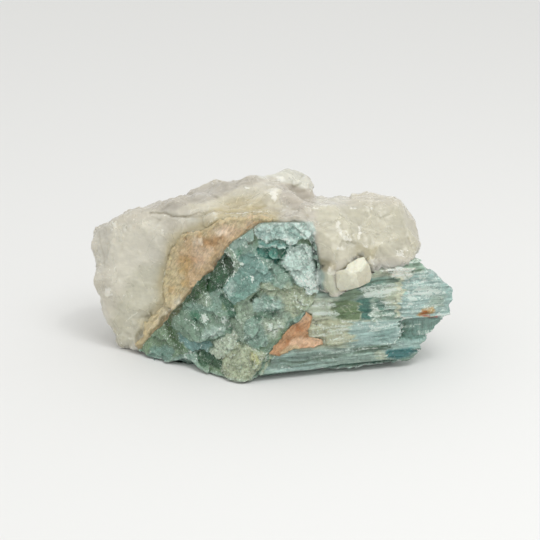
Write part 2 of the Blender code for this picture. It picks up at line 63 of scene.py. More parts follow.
MM = 0.001
FAR = 1e9  # further than anything here
DRAWN_MIDDLE = np.array((-0.489, 2.731, 0.0))  # the drawing's place for the middle of the underside

CAMERA_TARGET = np.array((-0.111, -2.731, 25.5))
CAMERA_DISTANCE = 520.0
CAMERA_ELEVATION = math.radians(20.0)
FIELD_OF_VIEW = math.radians(17.981)
SENSOR = 36.0
SHEET_HALF = 270.0  # half the sheet's width and height in its units
FORWARD = np.array((0.0, math.cos(CAMERA_ELEVATION), -math.sin(CAMERA_ELEVATION)))
UPWARD = np.array((0.0, math.sin(CAMERA_ELEVATION), math.cos(CAMERA_ELEVATION)))
DRAWN_CAMERA = CAMERA_TARGET + DRAWN_MIDDLE - CAMERA_DISTANCE * FORWARD
UNIT = CAMERA_DISTANCE * math.tan(FIELD_OF_VIEW / 2) / SHEET_HALF  # millimetres to a unit of the sheet

# measures shared with the solids
AXIS_TURN = math.radians(14.0)
OUT_OF_FRONT = np.array((math.sin(AXIS_TURN), -math.cos(AXIS_TURN), 0.0))
ALONG = np.array((math.cos(AXIS_TURN), math.sin(AXIS_TURN), 0.0))
FRONT_N = -25.0
NOSE = (-8.3, -28.0)  # X and Y of the corner where the broken end's two planes meet at the foot
LEFT_BREAK = (-0.671, 0.277)  # how each plane runs back to the right and upwards
FRONT_BREAK = (0.016, 0.188)
INTO_END = np.array((0.55, 0.83, 0.0))  # the way that runs into the broken end
BAND_EDGE = (  # the feldspar band's outer edge as X, Z, from the foot to the top right
    -41.5,3.0, -38.5,6.6, -38.6,9.8, -35.8,12.6, -31.6,17.2, -32.6,22.6, -31.2,29.4,
    -29.6,34.4, -26.4,39.6, -19.4,42.2, -15.0,45.6, -3.4,47.6, 0.6,46.6)

CONTACT = 0.75  # how near another mineral counts as touching
OVERLAP = 0.3  # by which touching minerals are pressed into each other
REACHED = 3.5  # how far a wall may move to meet another mineral
PROUD = 0.3  # how far a thinned lip still stands over what it laps


# ---------------------------------------------------------------- colours
# Some tones stand for painted light or shade rather than a mineral's own colour; the places that use them say
# so.
TONES = {  # as they show, in sRGB from 0 to 255
    "ice": (188, 208, 200), "pale_teal": (150, 174, 164), "plate_teal": (117, 151, 141),
    "mid_teal": (112, 150, 142), "lens_teal": (117, 150, 142), "teal_grey": (130, 156, 143),
    "sage_teal": (136, 160, 146), "blue_teal": (116, 150, 146), "deep_teal": (78, 128, 116),
    "darkest_shadow_teal": (42, 88, 72), "bright_green": (66, 116, 92), "deep_green": (34, 76, 46),
    "recess_green": (42, 90, 69), "forest_shade": (54, 88, 56), "valley": (78, 112, 94), "pocket": (79, 105, 84),
    "olive_green": (55, 82, 46), "grey_green": (118, 140, 114), "scallop_green": (122, 146, 128),
    "brown_olive": (82, 86, 46), "dark_olive": (64, 62, 26), "sage": (146, 164, 146), "mint": (182, 194, 174),
    "straw_green": (170, 178, 152), "yellow_green": (186, 184, 128), "side_blue": (166, 191, 186),
    "side_green": (119, 140, 105), "side_grey": (148, 164, 146), "side_teal": (86, 128, 118),
    "recess_edge_shadow": (98, 128, 114), "recess_teal": (139, 168, 159), "side_straw": (180, 182, 154),
    "strip": (150, 172, 152), "blue_low": (78, 134, 136), "shade_green": (88, 108, 90),
    "cream_and_highlight": (250, 252, 236), "pale_cream": (204, 208, 184), "frost": (224, 235, 227),
    "snow": (236, 235, 227), "rust": (166, 104, 36), "rust_gold": (188, 148, 80), "rust_red": (146, 62, 26),
    "quartz": (210, 206, 193), "milk": (214, 212, 202), "glow": (222, 219, 206), "smoke": (189, 184, 173),
    "shade_below_knob": (193, 187, 175), "cream": (212, 208, 192), "beige": (204, 201, 183),
    "low_beige": (206, 204, 187), "crack": (176, 170, 152), "under": (206, 209, 188),
    "straw": (190, 182, 150), "knob": (217, 217, 207), "tan": (199, 176, 143), "tan_pink": (208, 188, 164),
    "tan_orange": (196, 154, 112), "tan_brown": (158, 122, 82), "tan_gold": (186, 156, 106),
    "tan_straw": (196, 184, 150), "pink_white": (228, 214, 196), "orange": (186, 149, 116),
    "orange_pale": (216, 186, 158), "orange_brown": (160, 110, 74), "grain_cream": (196, 195, 178),
    "grain_lit_face": (212, 212, 195), "grain_shade_and_seams": (188, 185, 167),
}
GLOSS = 0.038  # the shine on top of every colour
CLEAR, MILKY, DULL = 0.765, 0.92, 0.9  # how much of their colour crystal, quartz and feldspar give back


def tone(name, gain=CLEAR):
    """The paint, as linear red, green and blue, that shows as a named colour on a mineral."""
    srgb = np.array(TONES[name]) / 255.0
    shown = np.where(srgb <= 0.04045, srgb / 12.92, ((srgb + 0.055) / 1.055) ** 2.4)
    paint = np.maximum((shown - GLOSS) / gain, 0.008)
    return paint * min(1.0, 0.94 / paint.max())


def toward(tint, share, name, gain=CLEAR):
    """Takes the tint a share of the way to a named colour."""
    tint += share[:, None] * (tone(name, gain) - tint)


# ---------------------------------------------------------------- repeatable noise
def rows(*columns):
    """Columns, or single numbers, side by side: a row for each place."""
    return np.stack(np.broadcast_arrays(*columns), axis=-1)


def scatter(cells, salt):
    """A repeatable random number, 0 to 1, for each whole-number cell: a hash with the usual multipliers."""
    c = cells.astype(np.int64)
    mixed = c[..., 0] * 73856093 ^ c[..., 1] * 19349663 ^ c[..., 2] * 83492791 ^ (salt * 40503 + 977)
    for shift, factor in ((15, 2246822519), (13, 3266489917)):
        mixed = ((mixed ^ (mixed >> shift)) * factor) & 0xFFFFFFFF
    return ((mixed ^ (mixed >> 16)) & 0xFFFFFF) / float(0x1000000)


def scatter_three(cells, salt):
    return rows(*(scatter(cells, salt + k) for k in range(3)))


def soft(value, low, high):
    """0 below low, 1 above high, and smooth between."""
    share = np.clip((value - low) / (high - low), 0.0, 1.0)
    return share * share * (3 - 2 * share)


def hump(value, width):
    return np.exp(-((value / width) ** 2))


def swell(places, size, salt):
    """Smooth noise, -1 to 1, with bumps about the size across."""
    spot = places / size
    low = np.floor(spot)
    part = spot - low
    part = part * part * (3 - 2 * part)
    total = 0.0
    for corner in itertools.product((0, 1), repeat=3):
        share = np.prod(np.where(corner, part, 1 - part), axis=-1)
        total = total + share * scatter(low + corner, salt)
    return 2 * total - 1


def swells(places, *layers):
    """The sum of swells, each given by its strength, size and salt."""
    return sum(by * swell(places, size, salt) for by, size, salt in layers)


def rough(places, size, salt, layers=3):
    """Noise with finer noise on it, about -1 to 1."""
    return sum(swell(places, size / 2**k, salt + 31 * k) * 0.6**k for k in range(layers)) / 1.6


def shells(places, size, salt, bowl=0.7, lean=0.7):
    """The height of shell-like hollows, about the size across, that meet at ridges."""
    spot = places / size
    low = np.floor(spot)
    height = np.full(len(spot), FAR)
    for step in itertools.product((-1, 0, 1), repeat=3):
        cell = low + step
        away = spot - cell - scatter_three(cell, salt)
        tilt = scatter_three(cell, salt + 3) - 0.5
        here = bowl * (away**2).sum(-1) + lean * (away * tilt).sum(-1) + 0.5 * scatter(cell, salt + 6)
        height = np.minimum(height, here)
    return (height - height.mean()) * size


def flakes(places, size, salt, tilt=0.8, level=0.5, lean=(0.0, 0.0, 0.0)):
    """Broken plates about the size across, each tilted and set in or out.

    Gives the height, the way to the rim and a number of each plate. Places with no Y are taken as a plane.
    """
    layers = (-1, 0, 1) if np.any(places[:, 1]) else (0,)
    spot = places / size
    low = np.floor(spot)
    first, second = np.full((2, len(spot)), FAR)
    height, owner = np.zeros((2, len(spot)))
    for step in itertools.product((-1, 0, 1), layers, (-1, 0, 1)):
        cell = low + step
        away = spot - cell - scatter_three(cell, salt)
        if len(layers) == 1:
            away[:, 1] = 0.0
        reach = (away**2).sum(-1)
        nearer = reach < first
        second = np.where(nearer, first, np.minimum(second, reach))
        first = np.where(nearer, reach, first)
        slope = tilt * (scatter_three(cell, salt + 3) - 0.5) + lean
        pick = scatter(cell, salt + 6)
        height = np.where(nearer, (away * slope).sum(-1) + level * (pick - 0.5), height)
        owner = np.where(nearer, pick, owner)
    return height * size, (np.sqrt(second) - np.sqrt(first)) * size / 2, owner


# ---------------------------------------------------------------- the sheet, with its outlines and lines
def pairs(numbers):
    return list(zip(numbers[::2], numbers[1::2]))


def along_edge(numbers, x, z):
    """How far each point is from an open line."""
    nearest = np.full(len(x), FAR)
    line = pairs(numbers)
    for (ax, az), (bx, bz) in zip(line, line[1:]):
        run_x, run_z = bx - ax, bz - az
        share = np.clip(((x - ax) * run_x + (z - az) * run_z) / (run_x**2 + run_z**2), 0, 1)
        nearest = np.minimum(nearest, np.hypot(ax + run_x * share - x, az + run_z * share - z))
    return nearest


def depth_inside(numbers, x, z):
    """How far inside a closed outline each point is, or minus how far outside."""
    closed = numbers + numbers[:2]
    inside = np.zeros(len(x), bool)
    for (ax, az), (bx, bz) in zip(pairs(closed), pairs(closed)[1:]):
        if bz != az:
            inside ^= ((az > z) != (bz > z)) & (x < ax + (bx - ax) * (z - az) / (bz - az))
    nearest = along_edge(closed, x, z)
    return np.where(inside, nearest, -nearest)


def patch(outline, u, v, low, high):
    """0 outside an outline and 1 inside it, smooth between two depths."""
    return soft(depth_inside(outline, u, v), low, high)


def turned(x, y, angle):
    """Places in a plane, along and across an axis at the angle."""
    c, w = np.cos(angle), np.sin(angle)
    return c * x + w * y, c * y - w * x


def lengthwise(places):
    """Each place's S and N."""
    return turned(places[:, 0], places[:, 1], AXIS_TURN)


def seen(places):
    """Where each place shows on the sheet: units to the right and down."""
    away = places - DRAWN_CAMERA
    depth = away @ FORWARD
    half = SHEET_HALF / math.tan(FIELD_OF_VIEW / 2)
    return SHEET_HALF + half * away[:, 0] / depth, SHEET_HALF - half * (away @ UPWARD) / depth


def lay(tint, frost, u, v, patches, lines=(), gain=CLEAR):
    """Lays patches, then lines, over the tint in order; frost whitens instead of colouring."""
    for order, (name, share, width, numbers) in enumerate([*patches, *lines]):
        box = np.array(pairs(numbers))
        low, high = box.min(0) - 3 * width - 1, box.max(0) + 3 * width + 1
        near = np.flatnonzero((u > low[0]) & (u < high[0]) & (v > low[1]) & (v < high[1]))
        if order < len(patches):
            cover = share * patch(numbers, u[near], v[near], -width, width)
        else:
            cover = share * soft(along_edge(numbers, u[near], v[near]), 1.3 * width, 0.4 * width)
        if name == "frost":
            frost[near] = np.maximum(frost[near], cover)
        else:
            tint[near] += cover[:, None] * (tone(name, gain) - tint[near])
            frost[near] *= 1 - 0.6 * cover


# ---------------------------------------------------------------- meshes
def show(name, data):
    """A new object of the scene."""
    made = bpy.data.objects.new(name, data)
    bpy.context.scene.collection.objects.link(made)
    return made


def shape_of(mesh):
    """A mesh's search tree and its box, low and high, for others to be fitted to."""
    corners = [v.co for v in mesh.vertices]
    tree = BVHTree.FromPolygons(corners, [tuple(p.vertices) for p in mesh.polygons])
    box = np.array(corners)
    return tree, box.min(0), box.max(0)


def close_to(metres, low, high, within):
    """Which places lie in a box made wider by so many millimetres."""
    return np.flatnonzero(((metres > low - within * MM) & (metres < high + within * MM)).all(1))


class Surface:
    """A mineral's mesh while it is worked on: places in the drawing, outward directions and edges."""

    def __init__(self, name, node):
        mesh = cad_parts[node].data.copy()
        mesh.name = name
        mesh.materials.clear()
        self.node = node
        self.piece = show(name, mesh)
        self.read()

    def vectors(self, kind):
        flat = np.empty(len(self.piece.data.vertices) * 3)
        self.piece.data.vertices.foreach_get(kind, flat)
        return flat.reshape(-1, 3)

    def read(self):
        self.at = self.vectors("co") / MM + DRAWN_MIDDLE
        self.out = self.vectors("normal")
        ends = np.empty(len(self.piece.data.edges) * 2, np.int64)
        self.piece.data.edges.foreach_get("vertices", ends)
        self.edges = ends.reshape(-1, 2)

    def metres(self):
        return (self.at - DRAWN_MIDDLE) * MM

    def write(self):
        """Puts the places into the mesh, inside the specimen's box."""
        held = np.clip(self.metres(), *np.array(CAD_BOX))
        self.piece.data.vertices.foreach_set("co", held.ravel())
        self.piece.data.update()
        self.out = self.vectors("normal")

    def apply(self):
        """Makes the modified shape the piece's own mesh."""
        graph = bpy.context.evaluated_depsgraph_get()
        mesh = bpy.data.meshes.new_from_object(self.piece.evaluated_get(graph))
        self.piece.modifiers.clear()
        old, self.piece.data = self.piece.data, mesh
        mesh.name = old.name
        bpy.data.meshes.remove(old)
        self.read()

    def even_out(self, spacing):
        """Gives the piece a new closed mesh of even squares."""
        step = self.piece.modifiers.new("even", "REMESH")
        step.mode = "VOXEL"
        step.voxel_size = spacing * MM
        self.apply()

    def thin(self, busy, triangles):
        """Takes triangles away, mostly where the surface isn't busy."""
        group = self.piece.vertex_groups.new(name="busy")
        for level in (0, 1):
            group.add(np.flatnonzero((busy > 0.5) == level).tolist(), level, "REPLACE")
        step = self.piece.modifiers.new("thin", "DECIMATE")
        step.ratio = triangles / (2.0 * len(self.piece.data.polygons))
        step.vertex_group = group.name
        step.invert_vertex_group = True
        step.vertex_group_factor = 8.0
        self.apply()
        self.piece.vertex_groups.clear()

    def near_others(self, within):
        """1 for each point that lies within so many millimetres of another mineral, and 0 elsewhere."""
        close = np.zeros(len(self.at))
        metres = self.metres()
        for name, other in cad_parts.items():
            if name == self.node:
                continue
            tree, low, high = shape_of(other.data)
            for k in close_to(metres, low, high, within):
                if tree.find_nearest(metres[k], within * MM)[0] is not None:
                    close[k] = 1.0
        return close

    def hidden(self, times):
        """1 where the surface lies in a contact with another mineral, with a soft edge."""
        return soft(self.mean_of_neighbours(self.near_others(1.0), times), 0.3, 0.9)

    def facing(self, low=-0.1, high=0.2):
        """1 where the surface is turned to the sheet and 0 where it is turned away."""
        return soft(-(self.out @ FORWARD), low, high)

    def mean_of_neighbours(self, values, times):
        """The values, one or more for each point, averaged with their neighbours again and again."""
        a, b = self.edges[:, 0], self.edges[:, 1]
        count = np.maximum(np.bincount(self.edges.ravel(), minlength=len(values)), 1)
        columns = np.array(values, float).reshape(len(values), -1).T.copy()
        for column in columns:
            for _ in range(times):
                near = np.bincount(a, column[b], len(column)) + np.bincount(b, column[a], len(column))
                column[:] = 0.5 * column + 0.5 * (near / count)
        return columns.T.reshape(values.shape)

    def relief(self, times):
        """How far each place stands out of its surroundings: above 0 on ridges, below 0 in hollows."""
        return ((self.at - self.mean_of_neighbours(self.at, times)) * self.out).sum(1)

    def smooth_out(self, outlines, times):
        """Smooths the surface inside outlines on the sheet."""
        u, v = seen(self.at)
        for outline in outlines:
            share = patch(outline, u, v, -2.5, 1.0)[:, None]
            self.at += share * (self.mean_of_neighbours(self.at, times) - self.at)

    def meet(self, shapes, keep=0.0):
        """Closes the cracks along other pieces: walls that face them reach them, and lips over them thin out.

        Lips stay as they are where keep is 1.
        """
        metres = self.metres()
        wall, lower = np.zeros((2, len(self.at)))
        for tree, low, high in shapes:
            for k in close_to(metres, low, high, REACHED):
                spot, normal, _, reach = tree.find_nearest(metres[k], REACHED * MM)
                if spot is None or reach < 1e-6:
                    continue
                gap = np.array(spot) - metres[k]
                if gap @ np.array(normal) < 0 and gap @ self.out[k] > 0.4 * reach:
                    self.at[k] += gap / MM * (1 + 0.25 * MM / reach)
                    wall[k] = 1.0
        lip = np.clip(9 * self.mean_of_neighbours(wall, 60), 0, 1) * self.facing() * (1 - keep)
        for k in np.flatnonzero(lip > 0.05):
            start = metres[k] + 0.1 * MM * FORWARD
            reach = min(tree.ray_cast(start, FORWARD, 7 * MM)[3] or 1.0 for tree, _, _ in shapes)
            if reach < 1.0:
                lower[k] = lip[k] * min(max(reach / MM - PROUD, 0.0), 2.8)
        self.at += self.mean_of_neighbours(lower, 12)[:, None] * FORWARD

    def hold_in(self, outline, ragged):
        """Draws places that show outside an outline on the sheet back to it, with a ragged edge."""
        u, v = seen(self.at)
        inside = depth_inside(outline, u, v) + ragged * rough(self.at, 1.1, 83, 2)
        stray = np.flatnonzero(inside < 0)
        here = rows(u, v)[stray]
        best, target = np.full(len(stray), FAR), np.zeros(here.shape)
        points = np.array(pairs(outline), float)
        for a, b in zip(points, np.roll(points, -1, axis=0)):
            share = np.clip((here - a) @ (b - a) / ((b - a) @ (b - a)), 0, 1)[:, None]
            spot = a + share * (b - a)
            reach = np.hypot(*(spot - here).T)
            closer = reach < best
            best[closer], target[closer] = reach[closer], spot[closer]
        way = (target - here) * (np.minimum(-inside[stray], best + 2) / np.maximum(best, 1e-6))[:, None]
        self.at[stray, 0] += UNIT * way[:, 0]
        self.at[stray] -= UNIT * way[:, 1:] * UPWARD

    def mark(self, name, values):
        """Keeps a number or a colour for each point, for the material to read."""
        kind, field = ("FLOAT", "value") if values.ndim == 1 else ("FLOAT_VECTOR", "vector")
        self.piece.data.attributes.new(name, kind, "POINT").data.foreach_set(field, values.ravel())

    def finish(self, node, slot, material):
        self.write()
        mesh = self.piece.data
        mesh.polygons.foreach_set("use_smooth", np.full(len(mesh.polygons), True))
        mesh.materials.append(material)
        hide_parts(node)
        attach(self.piece, "root")


def pressed(name, node, coarse, spacing, overlap=OVERLAP, grown=0.0):
    """A mineral as even squares, pressed into the minerals it touches and grown a little all round."""
    surface = Surface(name, node)
    surface.even_out(coarse)
    surface.at += (overlap * surface.near_others(CONTACT) + grown)[:, None] * surface.out
    surface.write()
    surface.even_out(spacing)
    return surface


# ---------------------------------------------------------------- node trees
def fill(tree, inputs, values):
    """Links or sets sockets, each given by its name or number."""
    for key, value in values.items():
        if isinstance(value, Wire):
            tree.links.new(value.socket, inputs[key])
        else:
            inputs[key].default_value = value


class Wire:
    """A node's output. A sign between it and another wire or a number adds a Math node."""

    def __init__(self, nodes, socket):
        self.nodes = nodes
        self.socket = socket

    def beside(self, key):
        """Another output of the same node."""
        return Wire(self.nodes, self.socket.node.outputs[key])

    def math(self, operation, a, b):
        return self.nodes.add("Math", {0: a, 1: b}, operation=operation)

    def __add__(self, other):
        return self.math("ADD", self, other)

    def __sub__(self, other):
        return self.math("SUBTRACT", self, other)

    def __rsub__(self, other):
        return self.math("SUBTRACT", other, self)

    def __mul__(self, other):
        return self.math("MULTIPLY", self, other)

    def __truediv__(self, other):
        return self.math("DIVIDE", self, other)

    def __rtruediv__(self, other):
        return self.math("DIVIDE", other, self)

    def __lt__(self, other):
        return self.math("LESS_THAN", self, other)

    def __or__(self, other):
        """The greater of the two."""
        return self.math("MAXIMUM", self, other)

    __rmul__ = __mul__


class Nodes:
    """A node tree being filled: each call adds a node and gives back one of its outputs."""

    def __init__(self, tree):
        self.tree = tree

    def add(self, kind, sockets, out=0, **settings):
        made = self.tree.nodes.new("ShaderNode" + kind)
        for name, value in settings.items():
            setattr(made, name, value)
        fill(self.tree, made.inputs, sockets)
        return Wire(self, made.outputs[out])

    def use(self, effect, **values):
        """Places a shared effect with its own values."""
        return self.add("Group", values, node_tree=effect)

    def place(self, stretch=(1.0, 1.0, 1.0), turn=0.0):
        """The place on the piece in millimetres, stretched along each axis after a turn about Z."""
        own = self.add("TexCoord", {}, out=3)
        sockets = {"Vector": own, "Rotation": (0, 0, turn), "Scale": [MM * s for s in stretch]}
        return self.add("Mapping", sockets, vector_type="TEXTURE")

    def span(self, value, low, high, to_low=0.0, to_high=1.0):
        sockets = {"Value": value, "From Min": low, "From Max": high, "To Min": to_low, "To Max": to_high}
        return self.add("MapRange", sockets, interpolation_type="SMOOTHSTEP")

    def between(self, share, a, b):
        return self.add("Mix", {0: share, 2: a, 3: b})

    def mix(self, share, a, b):
        """A colour between two."""
        return self.add("Mix", {0: share, 6: a, 7: b}, out=2, data_type="RGBA")

    def vector(self, operation, a, b, out=0):
        return self.add("VectorMath", {0: a, 3 if operation == "SCALE" else 1: b}, out, operation=operation)

    def noise(self, vector, scale, detail=3.0, roughness=0.55, distortion=0.0):
        sockets = {"Vector": vector, "Scale": scale, "Detail": detail}
        return self.add("TexNoise", {**sockets, "Roughness": roughness, "Distortion": distortion})

    def cells(self, vector, out=0, feature="F1"):
        return self.add("TexVoronoi", {"Vector": vector, "Scale": 1.0}, out, feature=feature)

    def attribute(self, name, out=2):
        return self.add("Attribute", {}, out, attribute_name=name)

    def bump(self, height, strength):
        return self.add("Bump", {"Height": height, "Strength": strength, "Distance": 1.0 * MM})

    def crumpled(self, place, size, scale, detail, bend=1.0):
        """The place in units of a size, bent by noise."""
        spot = self.vector("SCALE", place, 1.0 / size)
        warp = self.add("TexNoise", {"Vector": spot, "Scale": scale, "Detail": detail}, out=1)
        return self.vector("ADD", spot, self.vector("SCALE", warp, bend))


def effect(name, inputs, build):
    """A shared effect as a node group: Place and the named inputs, and the outputs that build gives."""
    tree = bpy.data.node_groups.new(name, "ShaderNodeTree")
    tree.interface.new_socket("Place", in_out="INPUT", socket_type="NodeSocketVector")
    for label, usual in inputs.items():
        tree.interface.new_socket(label, in_out="INPUT", socket_type="NodeSocketFloat").default_value = usual
    given = tree.nodes.new("NodeGroupInput")
    n = Nodes(tree)
    made = build(n, *(Wire(n, given.outputs[label]) for label in ("Place", *inputs)))
    for label in made:
        tree.interface.new_socket(label, in_out="OUTPUT", socket_type="NodeSocketFloat")
    result = tree.nodes.new("NodeGroupOutput")
    fill(tree, result.inputs, made)
    return tree


def build_chips(n, place, size, bend):
    """Chips of a broken face: each chip's height, and its own shade from 0 to 1."""
    spot = n.crumpled(place, size, 1.3, 3.0, bend)
    cells = n.cells(spot, out=1)
    away = n.vector("SUBTRACT", spot, cells.beside("Position"))
    lean = n.vector("SUBTRACT", cells, (0.5, 0.5, 0.5))
    slope = n.vector("DOT_PRODUCT", away, lean, out=1)
    own = n.add("SeparateColor", {0: cells})
    return {"Height": (1.6 * slope + 0.5 * own) * size, "Shade": own.beside(1)}


def build_sparkle(n, place, size, share, cluster):
    """Tiny bright cleavage faces and painted glints, in clusters: a mask for a grain size in mm and a share
    of all grains.
    """
    cells = n.cells(n.crumpled(place, size, 2.0, 2.0), out=1)
    crowd = n.span(n.noise(n.vector("SCALE", place, 1.0 / cluster), 1.0), 0.42, 0.68, 0.0, 2.0)
    chosen = n.add("SeparateColor", {0: cells}) < share * crowd
    return {"Mask": chosen * n.span(cells.beside("Distance"), 0.25, 0.5, 1.0, 0.0)}


def build_cracks(n, place, spacing, width, share):
    """Thin healed cracks that come and go: a mask for a spacing, a width and a share that shows, in mm."""
    spot = n.crumpled(place, spacing, 1.5, 4.0)
    line = n.span(n.cells(spot, feature="DISTANCE_TO_EDGE"), 0.0, width / spacing, 1.0, 0.0)
    low = 0.72 - 0.4 * share
    return {"Mask": line * n.span(n.noise(spot, 2.2), low, low + 0.1)}


CHIPS = effect("chips", {"Size": 1.0, "Bend": 0.35}, build_chips)
SPARKLE = effect("sparkle", {"Size": 0.5, "Share": 0.1, "Cluster": 4.0}, build_sparkle)
CRACKS = effect("cracks", {"Spacing": 6.0, "Width": 0.2, "Share": 0.4}, build_cracks)


def colour(name):
    return (*tone(name), 1.0)


def new_material(name, **plain):
    """A material, its nodes and its shader's inputs, with plain values set."""
    material = bpy.data.materials.new(name)
    material.use_nodes = True
    tree = material.node_tree
    shader = tree.nodes["Principled BSDF"].inputs
    fill(tree, shader, {label.replace("_", " "): value for label, value in plain.items()})
    return material, Nodes(tree), shader


def mineral(name, clear, cloudy, radius, depth, ior):
    """A material: how clear, how cloudy, and how far light spreads inside in each colour and in mm."""
    return new_material(name, IOR=ior, Transmission_Weight=clear, Subsurface_Weight=cloudy,
                        Subsurface_Radius=radius, Subsurface_Scale=depth * MM)


def aquamarine_finish():
    material, n, shader = mineral("aquamarine", 0.25, 0.4, (0.7, 1.0, 0.95), 1.5, 1.57)
    tint, grain, here = n.attribute("tint", out=1), n.attribute("grain", out=1), n.place()
    side, frost, sugar = n.attribute("side"), n.attribute("frost"), n.attribute("sugar")
    small = n.use(CHIPS, Place=here, Size=0.7, Bend=0.6)
    streaks = n.noise(grain, 0.9, 6.0, 0.66, 0.25)
    clouds = n.noise(here, 0.8, 6.0, 0.7, 0.6)
    waves = n.noise(here, 0.5, 2.5, 0.5, 1.2)

    glassy_shade = n.span(0.65 * streaks + 0.35 * waves, 0.32, 0.68, 0.7, 1.32)
    sugary_shade = n.span(0.4 * streaks + 0.6 * clouds + 0.1 * small.beside(1), 0.4, 0.7, 0.56, 1.36)
    end_shade = n.between(n.span(sugar, 0.0, 0.7, 0.15, 1.0), glassy_shade, sugary_shade)
    side_shade = n.span(0.6 * streaks + 0.4 * clouds, 0.34, 0.66, 0.62, 1.34)
    body = n.vector("SCALE", tint, n.between(side, end_shade, side_shade))

    threads = n.use(CRACKS, Place=here, Spacing=1.7, Width=0.13, Share=0.5)
    sparkle = n.use(SPARKLE, Place=here, Size=0.6, Share=n.span(sugar, 0.0, 1.0, 0.003, 0.1), Cluster=3.0)
    flecks = n.span(n.noise(here, 1.3, 7.0, 0.8, 1.0), 0.585, 0.64)
    broken_up = 0.8 * (small.beside(1) - 0.5) + 1.6 * (n.noise(here, 1.4, 4.0, 0.6) - 0.5)
    crust = 0.9 * n.span(frost + broken_up, 0.35, 1.05)
    end_white = threads * n.span(sugar, 0.0, 1.0, 0.28, 0.6) | sparkle * n.span(sugar, 0.2, 0.8, 0.1, 0.9)
    end_white = end_white | 0.75 * flecks | crust
    feathers = n.span(n.noise(grain, 0.75, 7.0, 0.76, 0.5) + 0.28 * frost, 0.57, 0.76)
    white = n.between(side, end_white, 0.85 * feathers | 0.9 * crust)

    end_relief = 0.5 * streaks + n.span(sugar, 0.0, 1.0, 0.06, 0.6) * small + 1.6 * waves
    end_relief = end_relief + n.span(sugar, 0.0, 0.8, 0.05, 0.8) * clouds
    fill(n.tree, shader, {
        "Base Color": n.mix(white, body, colour("frost")),
        "Roughness": n.span(white, 0.0, 1.0, 0.1, 0.45),
        "Normal": n.bump(n.between(side, end_relief, streaks + 0.5 * clouds), 0.6),
    })
    return material


def quartz_finish():
    material, n, shader = mineral("quartz", 0.2, 0.8, (1.0, 0.96, 0.88), 3.0, 1.54)
    tint, frost, here = n.attribute("tint", out=1), n.attribute("frost"), n.place()
    cloud = n.noise(here, 0.11, 5.0, 0.55, 0.6)
    veil = n.noise(n.place((5.0, 1.5, 1.0), 0.35), 0.5, 5.0, 0.65, 0.8)
    fine = 0.5 * n.noise(here, 0.6, 5.0, 0.6, 0.4) + 0.5 * veil
    small = n.use(CHIPS, Place=here, Size=1.0, Bend=0.8)
    shade = n.span(cloud, 0.3, 0.7, 0.93, 1.06) * n.span(fine, 0.36, 0.64, 0.92, 1.07)
    cracks = n.use(CRACKS, Place=here, Spacing=9.0, Width=0.2, Share=0.3)
    sparkle = n.use(SPARKLE, Place=here, Size=0.6, Share=0.006, Cluster=7.0)
    broken_up = 0.5 * (small.beside(1) - 0.5) + 1.2 * (fine - 0.5)
    white = 0.35 * cracks | 0.8 * sparkle | 0.8 * n.span(frost + broken_up, 0.3, 0.9)
    fill(n.tree, shader, {
        "Base Color": n.mix(white, n.vector("SCALE", tint, shade), colour("snow")),
        "Roughness": n.span(white, 0.0, 1.0, 0.0, 0.3) + n.span(cloud, 0.35, 0.65, 0.17, 0.36),
        "Normal": n.bump(0.5 * fine + 0.6 * small * n.span(frost, 0.0, 0.8, 0.05, 1.0), 0.5),
    })
    return material


def feldspar_finish(name, dark, pale, seam=0.6, contrast=1.0):
    """Cleavable feldspar: fibrous, dull, with darker seams and paler flakes."""
    material, n, shader = mineral(name, 0.0, 0.35, (1.0, 0.7, 0.45), 1.2, 1.53)
    tint, frost, grain = n.attribute("tint", out=1), n.attribute("frost"), n.attribute("grain", out=1)
    fibres = n.noise(grain, 1.5, 7.0, 0.75, 0.8)
    chips = n.use(CHIPS, Place=n.place(), Size=1.2, Bend=0.6)
    shade = n.span(fibres, 0.3, 0.7, 1.0 - 0.32 * contrast, 1.0 + 0.24 * contrast)
    seams = n.span(n.noise(grain, 0.9, 6.0, 0.75, 1.4), 0.56, 0.66)
    body = n.mix(seam * seams, n.vector("SCALE", tint, shade), colour(dark))
    flecks = n.span(n.noise(grain, 1.3, 7.0, 0.75, 1.0) + 0.25 * frost, 0.56, 0.7)
    fill(n.tree, shader, {
        "Base Color": n.mix(0.7 * contrast * flecks, body, colour(pale)),
        "Roughness": n.span(flecks, 0.0, 1.0, 0.4, 0.6),
        "Normal": n.bump(0.7 * fibres + 0.3 * chips, 0.6 * contrast),
    })
    return material


# ---------------------------------------------------------------- aquamarine
CRYSTAL_SPACING = 0.3
CRYSTAL_TRIANGLES = 185000
CHIP_RIM = 0.13  # how wide a small chip's rim is
CHIP_LEAN = (0.0, 0.0, -0.22)  # the small chips face a little upwards
Plate = collections.namedtuple("Plate", "rise lean_u lean_v tone share rim turn stretch outline")
